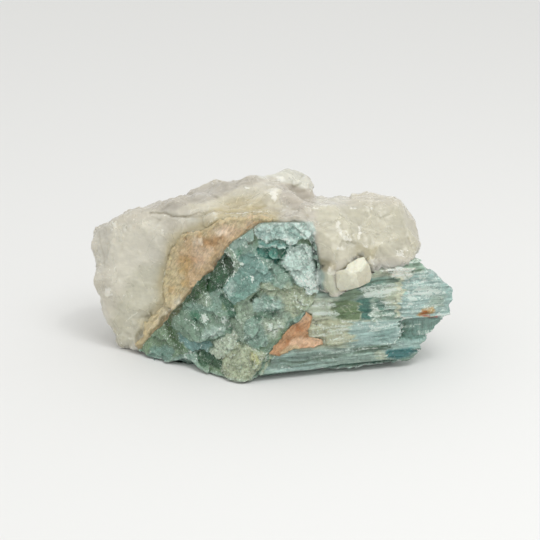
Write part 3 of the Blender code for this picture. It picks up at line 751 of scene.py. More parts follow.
# Plates and hollows of the broken end: how far out, the lean to the right and down, tone, share, rim, the
# turn and stretch of its streaks, outline.
PLATES = [Plate(*values) for values in (
    (0.2, 0.0, 0.1, "sage", 0.8, 0.1, 0, 1.5, (240,300, 262,290, 285,286, 322,290, 318,305, 300,318, 285,325,
        268,345, 252,352, 240,345, 232,335, 232,318)),
    (0.8, 0.3, -0.2, "pale_teal", 0.9, 0.4, 55, 7, (229,241, 233,233, 240,228, 249,226, 252,228, 254,234,
        252,240, 250,244, 244,247, 236,250, 231,252, 226,248)),
    (2.1, 0.0, 0.5, "ice", 0.95, 0.6, 20, 2, (254,227, 262,224, 270,223, 280,222, 292,221, 302,221, 310,224,
        314,232, 315,240, 312,246, 308,240, 302,238, 297,243, 290,246, 286,243, 280,241, 272,241, 266,243,
        262,239, 256,238, 253,233)),
    (0.9, 0.0, -0.4, "mid_teal", 0.95, 0.1, 0, 3, (256,240, 262,240, 268,244, 276,242, 284,244, 291,247,
        297,245, 293,250, 284,250, 276,249, 268,249, 259,247)),
    # Painted shadow: the hollow under the top ledge, dark teal where the ledge shades it.
    (-1.9, 0.1, 0.2, "deep_teal", 0.95, 0.0, 60, 2, (256,248, 268,249, 278,248, 286,249, 291,249, 286,253,
        281,257, 279,262, 277,266, 272,262, 266,259, 259,257, 254,252)),
    (0.5, -0.2, 0.5, "lens_teal", 0.9, 0.3, 30, 3, (239,262, 243,256, 250,253, 257,256, 262,260, 266,266,
        270,272, 271,278, 269,284, 262,285, 252,283, 246,280, 240,276, 236,270)),
    (-0.4, 0.2, 0.2, "teal_grey", 0.8, 0.3, 60, 3, (262,260, 270,261, 278,264, 280,268, 284,272, 278,276,
        272,278, 270,272, 266,266)),
    (2.1, -0.1, 0.3, "ice", 0.95, 0.6, 0, 1.5, (281,262, 285,255, 291,249, 297,246, 303,243, 310,248, 314,254,
        315,262, 320,268, 323,275, 321,283, 322,291, 318,297, 311,294, 305,290, 300,286, 295,284, 291,277,
        287,272, 281,268)),
    (0.9, 0.2, 0.4, "sage_teal", 0.9, 0.2, 70, 3, (272,277, 280,273, 287,273, 291,278, 294,284, 290,289,
        280,289, 273,285)),
    # Painted shade: the recess beneath the feldspar band's edge, dark green.
    (-1.0, -0.2, 0.3, "recess_green", 0.95, 0.0, 50, 3, (214,257, 221,252, 228,256, 233,262, 235,270, 232,279,
        227,285, 221,290, 212,293, 204,293, 197,287, 196,282, 200,275, 206,267)),
    (0.7, 0.2, -0.2, "sage", 0.9, 0.6, -45, 3, (221,253, 226,248, 232,252, 238,258, 241,264, 238,271, 235,273,
        234,268, 231,261, 226,257)),
    (1.5, 0.5, 0.3, "plate_teal", 0.95, 0.5, 20, 3, (222,288, 226,283, 232,278, 236,273, 243,273, 250,277,
        258,284, 262,287, 256,291, 249,296, 240,301, 236,306, 230,304, 226,296)),
    # Painted shade: a small hollow, dark green.
    (-1.4, 0.0, 0.0, "deep_green", 0.85, 0.0, 0, 1, (250,298, 254,295, 258,297, 257,301, 253,305, 250,304)),
    (0.7, 0.2, 0.3, "pale_teal", 0.9, 0.3, 0, 2, (252,303, 258,299, 268,299, 280,302, 284,308, 276,313,
        262,314, 254,312)),
    (-0.5, 0.1, 0.2, "olive_green", 0.95, 0.0, 30, 2, (183,290, 190,285, 197,288, 201,295, 197,301, 188,303,
        181,306, 175,311, 177,299)),
    (0.7, 0.4, 0.1, "sage", 0.85, 0.5, -50, 3, (200,289, 206,291, 210,297, 209,304, 204,308, 198,305,
        202,299)),
    (0.1, 0.2, 0.2, "teal_grey", 0.9, 0.2, 40, 2, (209,293, 216,290, 222,289, 224,296, 222,304, 218,308,
        211,306, 211,299)),
    (-0.9, 0.0, 0.0, "valley", 0.9, 0.0, -60, 2, (221,295, 228,296, 231,304, 235,312, 234,322, 230,320,
        226,310, 221,304)),
    (0.4, 0.2, 0.3, "teal_grey", 0.8, 0.2, -40, 4, (196,306, 206,306, 218,308, 226,311, 230,318, 222,314,
        212,312, 200,313, 192,311)),
    (1.7, 0.1, 0.45, "scallop_green", 0.95, 0.15, -42, 6, (172,312, 180,309, 190,311, 200,314, 212,312,
        222,312, 230,318, 232,326, 228,334, 220,338, 210,342, 200,344, 190,341, 182,337, 176,331, 171,321)),
    (0.9, 0.0, -0.2, "blue_teal", 0.95, 0.05, -30, 4, (177,335, 184,337, 192,341, 200,344, 208,342, 212,346,
        209,352, 200,353, 190,351, 183,347, 179,341)),
    (1.2, 0.0, 0.3, "grey_green", 0.95, 0.3, -12, 5, (140,340, 150,330, 160,322, 170,316, 172,328, 178,337,
        184,347, 186,352, 178,357, 170,362, 158,364, 152,364, 147,358, 144,350)),
    # Painted shade: the pocket under the end's foot, dark.
    (-2.3, 0.0, 0.0, "pocket", 0.95, 0.0, 0, 1, (196,352, 206,353, 212,352, 218,357, 222,362, 222,370,
        214,370, 206,366, 200,362)),
    (2.0, -0.3, 0.3, "mint", 0.95, 0.4, 60, 2, (211,352, 214,345, 220,340, 226,335, 232,332, 238,336, 238,344,
        234,350, 232,357, 224,358, 216,356)),
    (1.3, 0.2, 0.2, "straw_green", 0.9, 0.3, -35, 4, (222,358, 230,353, 236,346, 244,344, 252,350, 262,352,
        270,354, 262,363, 258,372, 252,381, 244,385, 236,383, 226,379, 220,372, 222,365)),
    (0.8, 0.2, 0.2, "teal_grey", 0.9, 0.2, 40, 3, (244,320, 252,316, 262,318, 266,326, 268,338, 266,348,
        256,350, 248,344, 242,334)),
)]
PLATE_STEP = 2.4  # units over which a plate rises
RISE = 0.5  # millimetres to one of a plate's steps out
SUGARY = {"ice": 0.8, "mint": 0.5, "straw_green": 0.6, "sage": 0.5}  # how far each tone has crumbled
# The small chips: size, salt, tilt, height, more of it where sugary, and the strength of rim and shade.
CHIP_LAYERS = ((4.6, 11, 0.7, 0.5, 0.0, 0.6), (2.1, 12, 0.8, 0.22, 0.0, 1.0), (1.0, 13, 0.9, 0.02, 0.3, 0.5))
# Patches of colour over the plates: (tone, share, blur, outline).
END_PATCHES = [
    # Painted shade: the dark green patches darken the crystal along the feldspar band's edge and in the
    # recess beside it.
    ("deep_green", 0.45, 2.5, (196,290, 204,276, 214,264, 222,258, 222,270, 214,282, 206,293, 198,296)),
    ("forest_shade", 0.45, 2.0, (176,312, 186,297, 196,288, 201,296, 191,305, 180,314)),
    # Painted shadow: the darkest teal in the hollow under the top ledge.
    ("darkest_shadow_teal", 0.9, 1.2, (276,249, 284,250, 289,250, 284,253, 280,258, 277,256)),
    ("deep_green", 0.9, 1.6, (218,263, 221,258, 227,259, 232,264, 234,271, 231,276, 227,271, 222,268)),
    ("forest_shade", 0.85, 1.6, (197,287, 200,279, 206,283, 210,290, 204,293)),
    ("deep_green", 0.6, 1.6, (188,291, 194,288, 197,295, 191,299)),
    ("brown_olive", 0.9, 1.4, (176,299, 184,292, 184,300, 180,309, 173,316, 170,330, 176,344, 170,340,
        164,328, 160,322, 168,312)),
    ("forest_shade", 0.7, 1.5, (162,322, 170,320, 173,330, 180,342, 184,350, 176,350, 168,338)),
    ("bright_green", 0.8, 1.8, (188,312, 196,311, 202,316, 198,321, 191,320)),
    ("blue_teal", 0.6, 2.0, (150,350, 160,346, 172,348, 176,355, 168,361, 156,363, 149,358)),
    ("bright_green", 0.7, 1.2, (238,251, 244,252, 243,258, 239,258)),
    # Painted shadow: the darkest teal at the back of the pocket at the foot.
    ("darkest_shadow_teal", 0.8, 1.4, (204,354, 212,353, 217,358, 213,363, 206,361)),
    ("brown_olive", 0.8, 0.8, (217,358, 222,357, 222,361, 218,361)),
    ("valley", 0.7, 1.8, (252,316, 262,312, 272,310, 276,316, 268,321, 258,322)),
    # Painted shade: the crevice where two raised plates meet.
    ("forest_shade", 0.6, 1.5, (239,344, 245,343, 247,348, 241,350)),
    ("valley", 0.6, 1.5, (262,300, 270,298, 274,303, 266,305)),
    ("dark_olive", 0.9, 0.8, (226,240, 228,240, 228,244, 226,244)),
    ("dark_olive", 0.5, 1.2, (189,283, 193,282, 193,286, 190,288)),
    ("ice", 0.55, 2.5, (204,328, 216,326, 226,329, 222,335, 212,339, 200,339)),
    ("ice", 0.5, 2.0, (224,286, 233,280, 236,288, 230,298, 225,294)),
    ("straw_green", 0.75, 3.0, (286,284, 300,288, 312,296, 322,294, 324,300, 314,306, 304,314, 296,320,
        284,312, 280,298)),
    ("straw_green", 0.6, 2.0, (256,288, 268,283, 282,290, 288,296, 276,297, 262,296)),
    ("mint", 0.6, 3.0, (262,324, 274,320, 286,322, 284,332, 276,340, 266,336)),
    ("yellow_green", 0.6, 1.5, (250,354, 256,354, 258,360, 262,362, 258,366, 250,362)),
    ("blue_teal", 0.45, 2.5, (256,228, 270,228, 282,231, 282,237, 268,238, 257,236)),
    ("mid_teal", 0.55, 2.0, (284,230, 292,229, 300,232, 304,238, 298,240, 288,236)),
    ("frost", 0.9, 0.9, (243,246, 251,246, 251,249, 243,249)),
    # Painted highlights: small white glints, laid as frost.
    ("frost", 1.0, 1.0, (265,228, 269,228, 269,232, 265,231)),
    ("frost", 1.0, 1.0, (285,235, 289,236, 290,241, 286,240)),
    ("frost", 0.9, 1.0, (299,231, 303,230, 304,234, 299,234)),
    ("frost", 0.8, 2.2, (200,315, 206,313, 211,319, 207,325, 200,322)),
    ("frost", 0.95, 1.6, (221,319, 225,317, 229,321, 227,326, 222,324)),
    # Painted highlights: small white glints, laid as frost.
    ("frost", 0.8, 1.0, (249,275, 255,276, 254,279, 250,279)),
    ("frost", 0.7, 1.6, (224,283, 229,283, 230,288, 226,290)),
    ("frost", 0.75, 2.2, (290,276, 300,284, 310,291, 320,291, 322,284, 322,272, 314,268, 306,274, 298,274)),
    ("frost", 0.5, 2.5, (296,252, 312,252, 314,266, 300,264)),
    ("frost", 0.55, 2.0, (266,325, 280,320, 284,330, 276,337, 268,334)),
    ("frost", 0.7, 1.2, (270,303, 276,304, 276,309, 271,309)),
    ("frost", 0.5, 2.0, (292,292, 304,296, 310,304, 302,312, 294,304)),
    ("frost", 0.6, 1.5, (182,352, 190,349, 192,354, 186,358, 180,357)),
    ("frost", 0.5, 1.4, (192,356, 198,358, 198,363, 192,361)),
    ("frost", 0.45, 1.6, (226,336, 236,334, 236,342, 228,342)),
]
# Lines over the crystal: (tone, share, half width, line).
END_LINES = [
    ("brown_olive", 0.7, 1.0, (253,229, 254,236, 251,241, 249,245)),
    ("frost", 0.9, 1.0, (239,236, 243,230, 247,226)),
    ("frost", 0.5, 0.8, (233,246, 238,240, 243,237)),
    ("frost", 0.7, 0.9, (222,253, 227,256, 229,259, 233,262, 236,266)),
    ("frost", 0.6, 0.8, (232,252, 235,258, 238,264)),
    ("frost", 0.6, 1.0, (202,291, 207,297, 207,304, 203,308)),
    ("frost", 0.5, 0.9, (150,336, 158,339, 166,338, 171,334)),
    ("frost", 0.4, 0.9, (152,345, 160,347, 168,345)),
    ("frost", 0.5, 0.8, (264,262, 265,268, 263,272)),
    ("frost", 0.4, 0.8, (262,270, 268,266, 273,268, 277,270)),
    ("frost", 0.5, 1.1, (236,273, 230,279, 223,287, 226,296, 231,304)),
    ("frost", 0.5, 0.9, (281,266, 286,272, 291,280, 297,285, 305,291)),
    ("frost", 0.6, 1.3, (304,220, 312,224, 315,232, 316,240)),
    ("frost", 0.5, 1.0, (172,312, 184,316, 196,328, 204,338)),
    ("ice", 0.8, 1.2, (258,246, 268,248, 280,247, 292,248)),
    # Painted shade: a dark teal line in the crease along the raised icy plate's left edge.
    ("darkest_shadow_teal", 0.7, 0.9, (284,252, 279,258, 278,264, 281,270, 288,276, 291,283)),
    ("dark_olive", 0.7, 0.9, (298,300, 302,305, 305,307)),
    ("dark_olive", 0.8, 1.0, (316,300, 314,304, 312,308)),
    ("straw_green", 0.8, 1.6, (262,378, 266,366, 272,357, 288,352)),
]
# Blocks of the long face that stand out or lie back: by how much, outline.
SIDE_RISES = [
    (1.0, (388,270, 394,266, 403,266, 412,268, 415,272, 411,277, 403,280, 394,279, 388,276)),
    (0.5, (306,321, 372,321, 400,320, 399,344, 374,347, 342,348, 318,349, 300,350)),
    (-0.4, (332,299, 352,297, 398,298, 398,319, 340,320)),
    (0.3, (404,268, 426,264, 450,282, 452,300, 446,317, 404,317)),
]
# By how many units the crystal's right end reaches further at each height down the sheet.
REACH = (255,-2, 260,-4, 269,-5, 282,-3, 290,0, 305,0, 310,4.6, 315,7, 319,10, 325,7,
         331,8.4, 337,4, 341,2, 345,-1, 349,4.4, 353,10, 357,7, 361,0)
UNDERCUT = 4.6  # how far the foot of the front draws back
TIP_FADE = 18  # units over which the right end starts to reach further
# Z and X of the line where the broken end meets the long front face.
JUNCTION = (0.0,-5.5, 1.5,-4.7, 2.1,-3.0, 11.2,3.8, 17.9,8.2, 23.8,12.0, 30.0,14.5, 50.0,20.0)
WEDGE_SHAPE = (270,354, 274,347, 281,340, 286,332, 292,326, 301,321, 306,313, 312,314, 311,322, 308,330,
               308,337, 314,339, 322,339, 323,344, 314,347, 304,347, 296,348, 287,352, 278,356)


def break_planes(x, z):
    """The broken end's Y without its plates: two planes that meet at the nose, and the long face."""
    left, front = (NOSE[1] + right * (x - NOSE[0]) + up * z for right, up in (LEFT_BREAK, FRONT_BREAK))
    face = (FRONT_N + math.sin(AXIS_TURN) * x) / math.cos(AXIS_TURN)
    return np.maximum(np.maximum(left - 0.3, front + 0.6), face)


def end_sheet(x, z):
    """Where places of the broken end show on the sheet, with ragged wandering."""
    u, v = seen(rows(x, break_planes(x, z) - 1.0, z))
    spots = rows(x, 0.0, z)
    u += swells(spots, (1.5, 2.6, 5), (0.8, 1.1, 6))
    v += swells(spots, (1.5, 2.6, 8), (0.8, 1.1, 9))
    for size, salt, by in ((1.9, 14, 2.4), (0.9, 17, 1.1)):
        u += by * (flakes(spots, size, salt)[2] - 0.5)
        v += by * (flakes(spots, size, salt + 40)[2] - 0.5)
    return u, v


def left_of_junction(x, z):
    """1 on the broken end proper, 0 to the right, where the long front face starts."""
    edge = np.interp(z, JUNCTION[::2], JUNCTION[1::2]) + 0.5 * swell(rows(0.0, 0.0, z), 1.3, 18)
    return soft(edge - x, -0.3, 0.3)


def sugar_share(x, z):
    """How much the broken end has crumbled to sugary grains: on its icy plates and in scattered patches."""
    u, v = end_sheet(x, z)
    share = 0.25 * soft(rough(rows(x, 0.0, z), 6.0, 15), 0.3, 0.6)
    for plate in PLATES:
        if plate.tone in SUGARY:
            share = np.maximum(share, SUGARY[plate.tone] * patch(plate.outline, u, v, 0.0, 2.0))
    return share


def end_chips(x, z):
    """The broken end's small chips: their height, how near a rim each place is, and each chip's shade."""
    spots = rows(x, 0.0, z)
    bent = spots + 0.8 * rows(swell(spots, 2.0, 8), 0.0, swell(spots, 2.0, 9))
    sugar = sugar_share(x, z)
    height, rim, shade = 0.0, 0.0, 0.0
    for size, salt, tilt, by, more, strong in CHIP_LAYERS:
        rise, edge, own = flakes(bent, size, salt, tilt, 0.4, CHIP_LEAN)
        height = height + (by + more * sugar) * rise
        rim = np.maximum(rim, strong * hump(edge, CHIP_RIM))
        shade = shade + strong * (own - 0.5)
    return height, rim, shade


def lath_level(s, z, pitch, length, salt):
    """Growth ridges along the prism: each lath has its own level, and steps where it ends."""
    wander = 0.3 * swell(rows(s / 9.0, 0.0, z / 4.0), 1.0, salt)
    lath = np.floor(z / pitch + wander)
    start = scatter(rows(lath, 0.0, 0.0), salt + 1)
    piece = np.floor(s / length + start * 7.0 + 0.15 * swell(rows(s, 0.0, z), 1.3, salt))
    return scatter(rows(lath, piece, 0.0), salt + 2) - 0.5


def lath_ridges(s, z):
    """Growth ridges along the prism, coarse to fine."""
    layers = ((0.3, 2.3, 17.0, 21), (0.4, 1.2, 9.0, 25), (0.25, 0.6, 5.0, 27))
    level = sum(by * lath_level(s, z, pitch, length, salt) for by, pitch, length, salt in layers)
    return level + 0.16 * rough(rows(s / 6.0, 0.0, z / 0.7), 1.0, 29)


def fine_break(x, z):
    """The broken end's Y with its plates, hollows and chips, and growth ridges right of the junction."""
    u, v = end_sheet(x, z)
    height = np.zeros(len(x))
    for plate in PLATES:
        mid_u, mid_v = np.mean(pairs(plate.outline), axis=0)
        share = patch(plate.outline, u, v, -0.5 * PLATE_STEP, 0.5 * PLATE_STEP)
        level = plate.rise + 0.1 * (plate.lean_u * (u - mid_u) + plate.lean_v * (v - mid_v))
        height += share * (np.clip(RISE * level, -2.2, 2.4) - height)
    height += end_chips(x, z)[0]
    plain = break_planes(x, z)
    s, _ = turned(x, plain, AXIS_TURN)
    left = left_of_junction(x, z)
    return plain - (left * height + (1 - left) * lath_ridges(s, z))


def end_share(crystal):
    """1 on the broken end and 0 elsewhere."""
    x, y, z = crystal.at.T
    gap = y - break_planes(x, z)
    share = soft(gap, 4.4, 3.0) * soft(gap, -6.8, -5.4) * soft(x, 17.0, 15.0)
    return share * soft(crystal.out @ INTO_END, 0.2, -0.15)


def break_end(crystal, most=FAR):
    """Moves the broken end to its plates and chips, by so much at most, and gives back where it lies."""
    x, y, z = crystal.at.T
    end = end_share(crystal)
    crystal.at[:, 1] += end * np.clip(fine_break(x, z) - y, -most, most)
    return end


def draw_ends(crystal, end, front, hidden):
    """Draws the crystal's ragged right end further out, and its foot back."""
    at = crystal.at
    u, v = seen(at)
    start = np.interp(v, (338, 346), (405, 390))
    reach = np.interp(v, REACH[::2], REACH[1::2])
    at[:, 0] += UNIT * reach * np.clip((u - start) / TIP_FADE, 0, 1) * (1 - hidden)
    high = 0.3 + 1.6 * soft(u, 250, 262) + 0.8 * soft(u, 310, 350) * soft(u, 405, 385)
    high += 2.2 * hump(u - 187, 11)
    at[:, 1] += UNDERCUT * soft(at[:, 2], high + 0.4, high - 0.2) * np.maximum(end, front)


def make_aquamarine():
    crystal = pressed("aquamarine", "aquamarine_crystal", 0.5, 0.45)
    break_end(crystal)
    crystal.write()
    crystal.even_out(CRYSTAL_SPACING)
    s, n = lengthwise(crystal.at)
    end = break_end(crystal, 0.3)
    at = crystal.at
    front = soft(crystal.out @ OUT_OF_FRONT, 0.45, 0.8) * (1 - end)
    in_wedge = patch(WEDGE_SHAPE, *seen(at), -0.5, 0.8) * soft(at[:, 1], -18.0, -20.0)
    at[:, 1] += 0.9 * in_wedge * np.maximum(end, front)
    ridges = lath_ridges(s, at[:, 2])
    u, v = side_sheet(at, s, n)
    for rise, outline in SIDE_RISES:
        ridges += rise * patch(outline, u, v, -0.8, 0.8)
    at += (front * (1 - in_wedge) * ridges)[:, None] * OUT_OF_FRONT
    hidden = crystal.hidden(6)
    other = (1 - end) * (1 - front) * (1 - hidden) * soft(at[:, 2], 0.3, 1.2)
    chips = 0.18 * shells(at, 3.6, 41) + 0.8 * flakes(at, 1.5, 42, 0.7, 0.3)[0]
    at += (other * chips)[:, None] * crystal.out
    draw_ends(crystal, end, front, hidden)
    crystal.write()
    crystal.thin(soft(end + front + other, 0.2, 0.5), CRYSTAL_TRIANGLES)
    paint_aquamarine(crystal)
    crystal.finish("aquamarine_crystal", "aquamarine", aquamarine_finish())
    return shape_of(crystal.piece.data)


# Painted shade for the crystal's hollows, as the share of each colour that is left.
HOLLOW_SHADE_TINT = np.array((0.66, 0.84, 0.8))  # what is left of each colour in the hollows
# Patches and lines of the long front face, as on the end.
SIDE_PATCHES = [
    ("side_blue", 0.95, 2.5, (402,270, 426,262, 452,280, 460,300, 452,320, 436,321, 402,320)),
    ("side_grey", 0.5, 3.0, (356,280, 398,279, 399,318, 372,320, 362,300)),
    ("strip", 0.95, 1.0, (364,256, 404,257, 406,262, 404,266, 372,267, 364,266)),
    ("pale_cream", 0.7, 1.2, (370,267, 402,267, 398,277, 384,276, 370,278)),
    ("strip", 0.8, 1.5, (404,258, 420,258, 430,268, 420,273, 411,273, 404,266)),
    ("side_teal", 0.6, 2.0, (366,279, 382,278, 384,284, 372,287, 362,292, 358,289)),
    ("pale_cream", 0.65, 2.5, (386,288, 398,286, 398,306, 390,304, 384,298)),
    ("side_green", 0.6, 2.0, (338,290, 356,288, 362,292, 354,300, 336,300)),
    ("side_green", 0.95, 1.8, (334,302, 350,299, 361,301, 362,321, 340,320, 333,312)),
    ("side_teal", 0.95, 1.6, (361,299, 372,298, 373,320, 361,321)),
    ("side_teal", 0.7, 2.0, (377,299, 387,300, 388,307, 379,311)),
    ("side_teal", 0.5, 2.5, (382,308, 397,308, 397,319, 386,320)),
    ("pale_cream", 0.6, 4.0, (306,296, 336,298, 334,320, 306,320)),
    ("side_straw", 0.9, 4.0, (306,318, 330,317, 352,322, 354,340, 342,348, 318,348, 298,350, 308,336)),
    ("side_blue", 0.9, 2.5, (352,323, 400,321, 399,344, 374,346, 354,344)),
    ("side_teal", 0.35, 3.0, (372,332, 392,329, 392,340, 374,342)),
    ("recess_teal", 0.95, 1.2, (401,320, 442,318, 442,327, 426,341, 416,343, 401,341)),
    # Painted shadow: where the raised block's right edge shades the recess.
    ("recess_edge_shadow", 0.5, 1.0, (401,320, 409,320, 409,336, 402,338)),
    ("side_blue", 0.75, 2.0, (400,341, 426,339, 422,349, 400,349)),
    # Painted shade: the shade_green patches darken the face under the raised block and along the crystal's
    # foot.
    ("shade_green", 0.75, 1.5, (352,347, 378,345, 388,349, 380,352, 352,354)),
    ("shade_green", 0.45, 2.0, (264,361, 300,353, 350,350, 350,356, 300,364, 268,369)),
    ("pale_cream", 0.5, 1.5, (378,351, 387,352, 387,360, 379,359)),
    ("blue_low", 0.85, 1.6, (387,350, 412,348, 420,351, 411,357, 396,360, 388,357)),
    ("shade_green", 0.5, 1.5, (380,361, 418,357, 412,368, 380,368)),
    ("side_grey", 0.6, 2.0, (431,296, 446,295, 447,306, 434,308)),
    # Its own pale cream and a painted highlight: the raised block that faces the light.
    ("cream_and_highlight", 0.95, 0.9, (389,270, 394,267, 402,267, 411,268, 414,272, 411,276, 403,279, 396,278,
        389,275)),
    ("pale_cream", 0.9, 1.3, (396,277, 402,277, 403,292, 402,319, 399,319, 396,300)),
    ("rust_gold", 0.8, 1.3, (421,314, 423,309, 430,307, 436,306, 437,311, 434,314, 428,316, 422,317)),
    ("rust", 0.95, 1.0, (423,311, 428,310, 431,312, 429,315, 424,316)),
    ("rust_red", 0.95, 0.7, (427,317, 431,315, 435,315, 435,317, 430,318, 427,318)),
    # Painted highlight: the same block whitened further with frost.
    ("frost", 0.6, 1.0, (389,270, 394,267, 402,267, 411,268, 414,272, 411,276, 403,279, 396,278, 389,275)),
    ("frost", 0.75, 2.0, (408,288, 424,286, 440,286, 440,294, 424,296, 410,293)),
    ("frost", 0.85, 1.5, (409,294, 417,295, 417,305, 411,307)),
    ("frost", 0.7, 1.5, (439,311, 448,311, 447,319, 440,318)),
    ("frost", 0.6, 2.0, (414,273, 427,270, 430,282, 423,286, 416,281)),
    ("frost", 0.6, 2.6, (373,303, 380,305, 381,316, 378,322, 386,325, 384,331, 375,333, 371,328, 372,318)),
    ("frost", 0.7, 3.0, (362,286, 398,284, 398,292, 380,298, 362,298)),
    ("frost", 0.45, 4.0, (382,300, 398,296, 398,316, 384,318)),
    ("frost", 0.6, 2.0, (312,301, 338,302, 338,308, 312,308)),
    ("frost", 0.6, 2.0, (312,312, 338,311, 338,316, 312,316)),
    ("frost", 0.4, 4.0, (403,276, 444,276, 448,312, 404,316)),
    ("frost", 0.35, 3.0, (354,322, 398,322, 398,330, 354,330)),
    ("frost", 0.35, 3.0, (312,324, 350,324, 350,344, 312,344)),
    ("frost", 0.35, 3.0, (310,350, 370,344, 372,348, 312,356)),
]
RECESS = (401,320, 444,318, 444,327, 426,341, 416,343, 401,341)  # striped upwards, not along
SIDE_LINES = [
    ("frost", 1.0, 0.9, (400,318, 407,318)),
    ("frost", 0.8, 1.0, (398,320, 399,330, 398,343)),
    ("frost", 0.6, 0.9, (375,345, 386,344, 397,344)),
    # Painted highlight: the lit top edge of the lower block.
    ("pale_cream", 0.8, 0.9, (340,321, 356,321, 372,321)),
    ("pale_cream", 0.5, 0.8, (351,303, 352,313)),
    ("pale_cream", 0.4, 0.8, (345,305, 346,312)),
    ("pale_cream", 0.5, 1.0, (361,303, 361,320)),
    # Painted shadow: a dark line at the recess's left edge, below the raised block's right edge.
    ("shade_green", 0.9, 1.0, (401,321, 402,330, 401,338)),
    # Painted shade: the shade_green lines darken the face beside the raised cream block, under the feldspar
    # grain and along the foot.
    ("shade_green", 0.8, 0.9, (410,272, 416,271, 422,270)),
    ("shade_green", 0.8, 0.9, (356,289, 364,286, 372,281, 386,279, 396,279)),
    ("shade_green", 0.7, 1.0, (276,360, 300,362, 320,359, 340,357)),
    ("shade_green", 0.6, 0.9, (284,368, 310,365, 340,362)),
    ("frost", 0.5, 0.8, (276,367, 292,368)),
    ("shade_green", 0.9, 1.2, (384,347, 389,347)),
    ("dark_olive", 0.7, 1.4, (314,325, 314,321)),
]


def side_sheet(at, s, n):
    """Where places of the long faces show on the sheet, with wandering drawn out along the crystal."""
    u, v = seen(at)
    spots = rows(s / 4.0, n, at[:, 2])
    u = u + 2.2 * swell(spots, 1.0, 51) + 6.0 * lath_level(s, at[:, 2], 0.5, 60.0, 57)
    u += 4.0 * lath_level(s, at[:, 2], 1.2, 60.0, 58)
    return u, v + 0.9 * swell(spots, 1.6, 53) + 0.5 * swell(spots, 0.7, 54)


def side_tint(crystal, s, n):
    """The long faces' colour at each place, and how frosted it is."""
    z = crystal.at[:, 2]
    u, v = side_sheet(crystal.at, s, n)
    blue = np.clip(0.5 + 0.5 * rough(rows(s / 5.0, n, z), 3.0, 56), 0, 1)[:, None]
    around = tone("side_blue") * blue + tone("side_grey") * (1 - blue)
    tint, frost = around.copy(), np.zeros(len(z))
    lay(tint, frost, u, v, SIDE_PATCHES, SIDE_LINES)
    facing = crystal.facing()
    laths = 0.5 * lath_level(s, z, 1.2, 9.0, 25) + 0.5 * lath_level(s, z, 0.6, 5.0, 27)
    tint = around + facing[:, None] * (tint - around)
    frost = np.clip(frost * facing * (1 + 1.2 * laths) + 0.5 * soft(laths, 0.28, 0.4), 0, 1)
    return tint * (1 + 0.35 * laths)[:, None], frost


def end_tint(x, z):
    """The broken end's colour at each place, and how frosted it is: each plate with its own tone and rim."""
    spots = rows(x, 0.0, z)
    u, v = end_sheet(x, z)
    green = soft(rough(spots, 9.0, 61), -0.3, 0.5)[:, None]
    tint = tone("teal_grey") * (1 - green) + tone("grey_green") * green
    frost = np.zeros(len(x))
    patchy = 1.3 * soft(rough(spots, 2.4, 63), -0.4, 0.4)
    for plate in PLATES:
        inside = depth_inside(plate.outline, u, v)
        cover = plate.share * soft(inside, -0.7, 0.7)
        toward(tint, cover, plate.tone)
        frost *= 1 - 0.8 * cover
        frost = np.maximum(frost, plate.rim * hump(inside - 0.5, 1.1) * patchy)
    lay(tint, frost, u, v, END_PATCHES, END_LINES)
    _, rims, shade = end_chips(x, z)
    tint *= (1 + 0.22 * shade)[:, None]
    frost = np.maximum(frost * (1 + 0.4 * shade), 0.6 * rims * soft(rough(spots, 2.6, 65), 0.0, 0.6))
    return tint, np.clip(frost, 0, 1)


def grain_coordinates(crystal, s, n, end):
    """Places stretched along the streaks: along the crystal on its long faces, by plates on the end."""
    x, y, z = crystal.at.T
    u, v = end_sheet(x, z)
    turn, stretch = np.full(len(x), 20.0), np.full(len(x), 1.6)
    for plate in PLATES:
        inside = depth_inside(plate.outline, u, v) > 0
        turn[inside], stretch[inside] = plate.turn, plate.stretch
    along, across = turned(x, z, np.radians(turn))
    in_recess = depth_inside(RECESS, *seen(crystal.at))[:, None] > 0
    on_side = np.where(in_recess, rows(s / 0.55, n, z / 8.0), rows(s / 4.5, n, z / 0.6))
    return np.where(end[:, None] > 0.5, rows(along / stretch, y, across), on_side)


def paint_aquamarine(crystal):
    at = crystal.at
    s, n = lengthwise(at)
    end = end_share(crystal) * left_of_junction(at[:, 0], at[:, 2])
    fine, coarse = crystal.relief(4), crystal.relief(50)
    tint, side_frost = side_tint(crystal, s, n)
    broken, broken_frost = end_tint(at[:, 0], at[:, 2])
    tint += end[:, None] * (broken - tint)
    # Painted shade: the hollows of the surface are darkened, and frosted less.
    hollow_shade = soft(coarse, -0.1, -0.9)
    tint *= 1 - hollow_shade[:, None] * (1 - HOLLOW_SHADE_TINT)
    toward(tint, 0.35 * soft(coarse, 0.1, 0.8) * end, "ice")
    frost = side_frost * (1 - end) + broken_frost * end
    patchy = soft(rough(at, 2.5, 64), -0.3, 0.5)
    frost = np.clip(frost + soft(fine, 0.03, 0.12) * patchy * 0.25, 0, 1)
    crystal.mark("tint", tint)
    crystal.mark("frost", frost * (1 - 0.5 * hollow_shade))
    crystal.mark("sugar", end * sugar_share(at[:, 0], at[:, 2]))
    crystal.mark("side", (1 - end) * soft(np.abs(crystal.out @ ALONG), 0.75, 0.45))
    crystal.mark("grain", grain_coordinates(crystal, s, n, end))


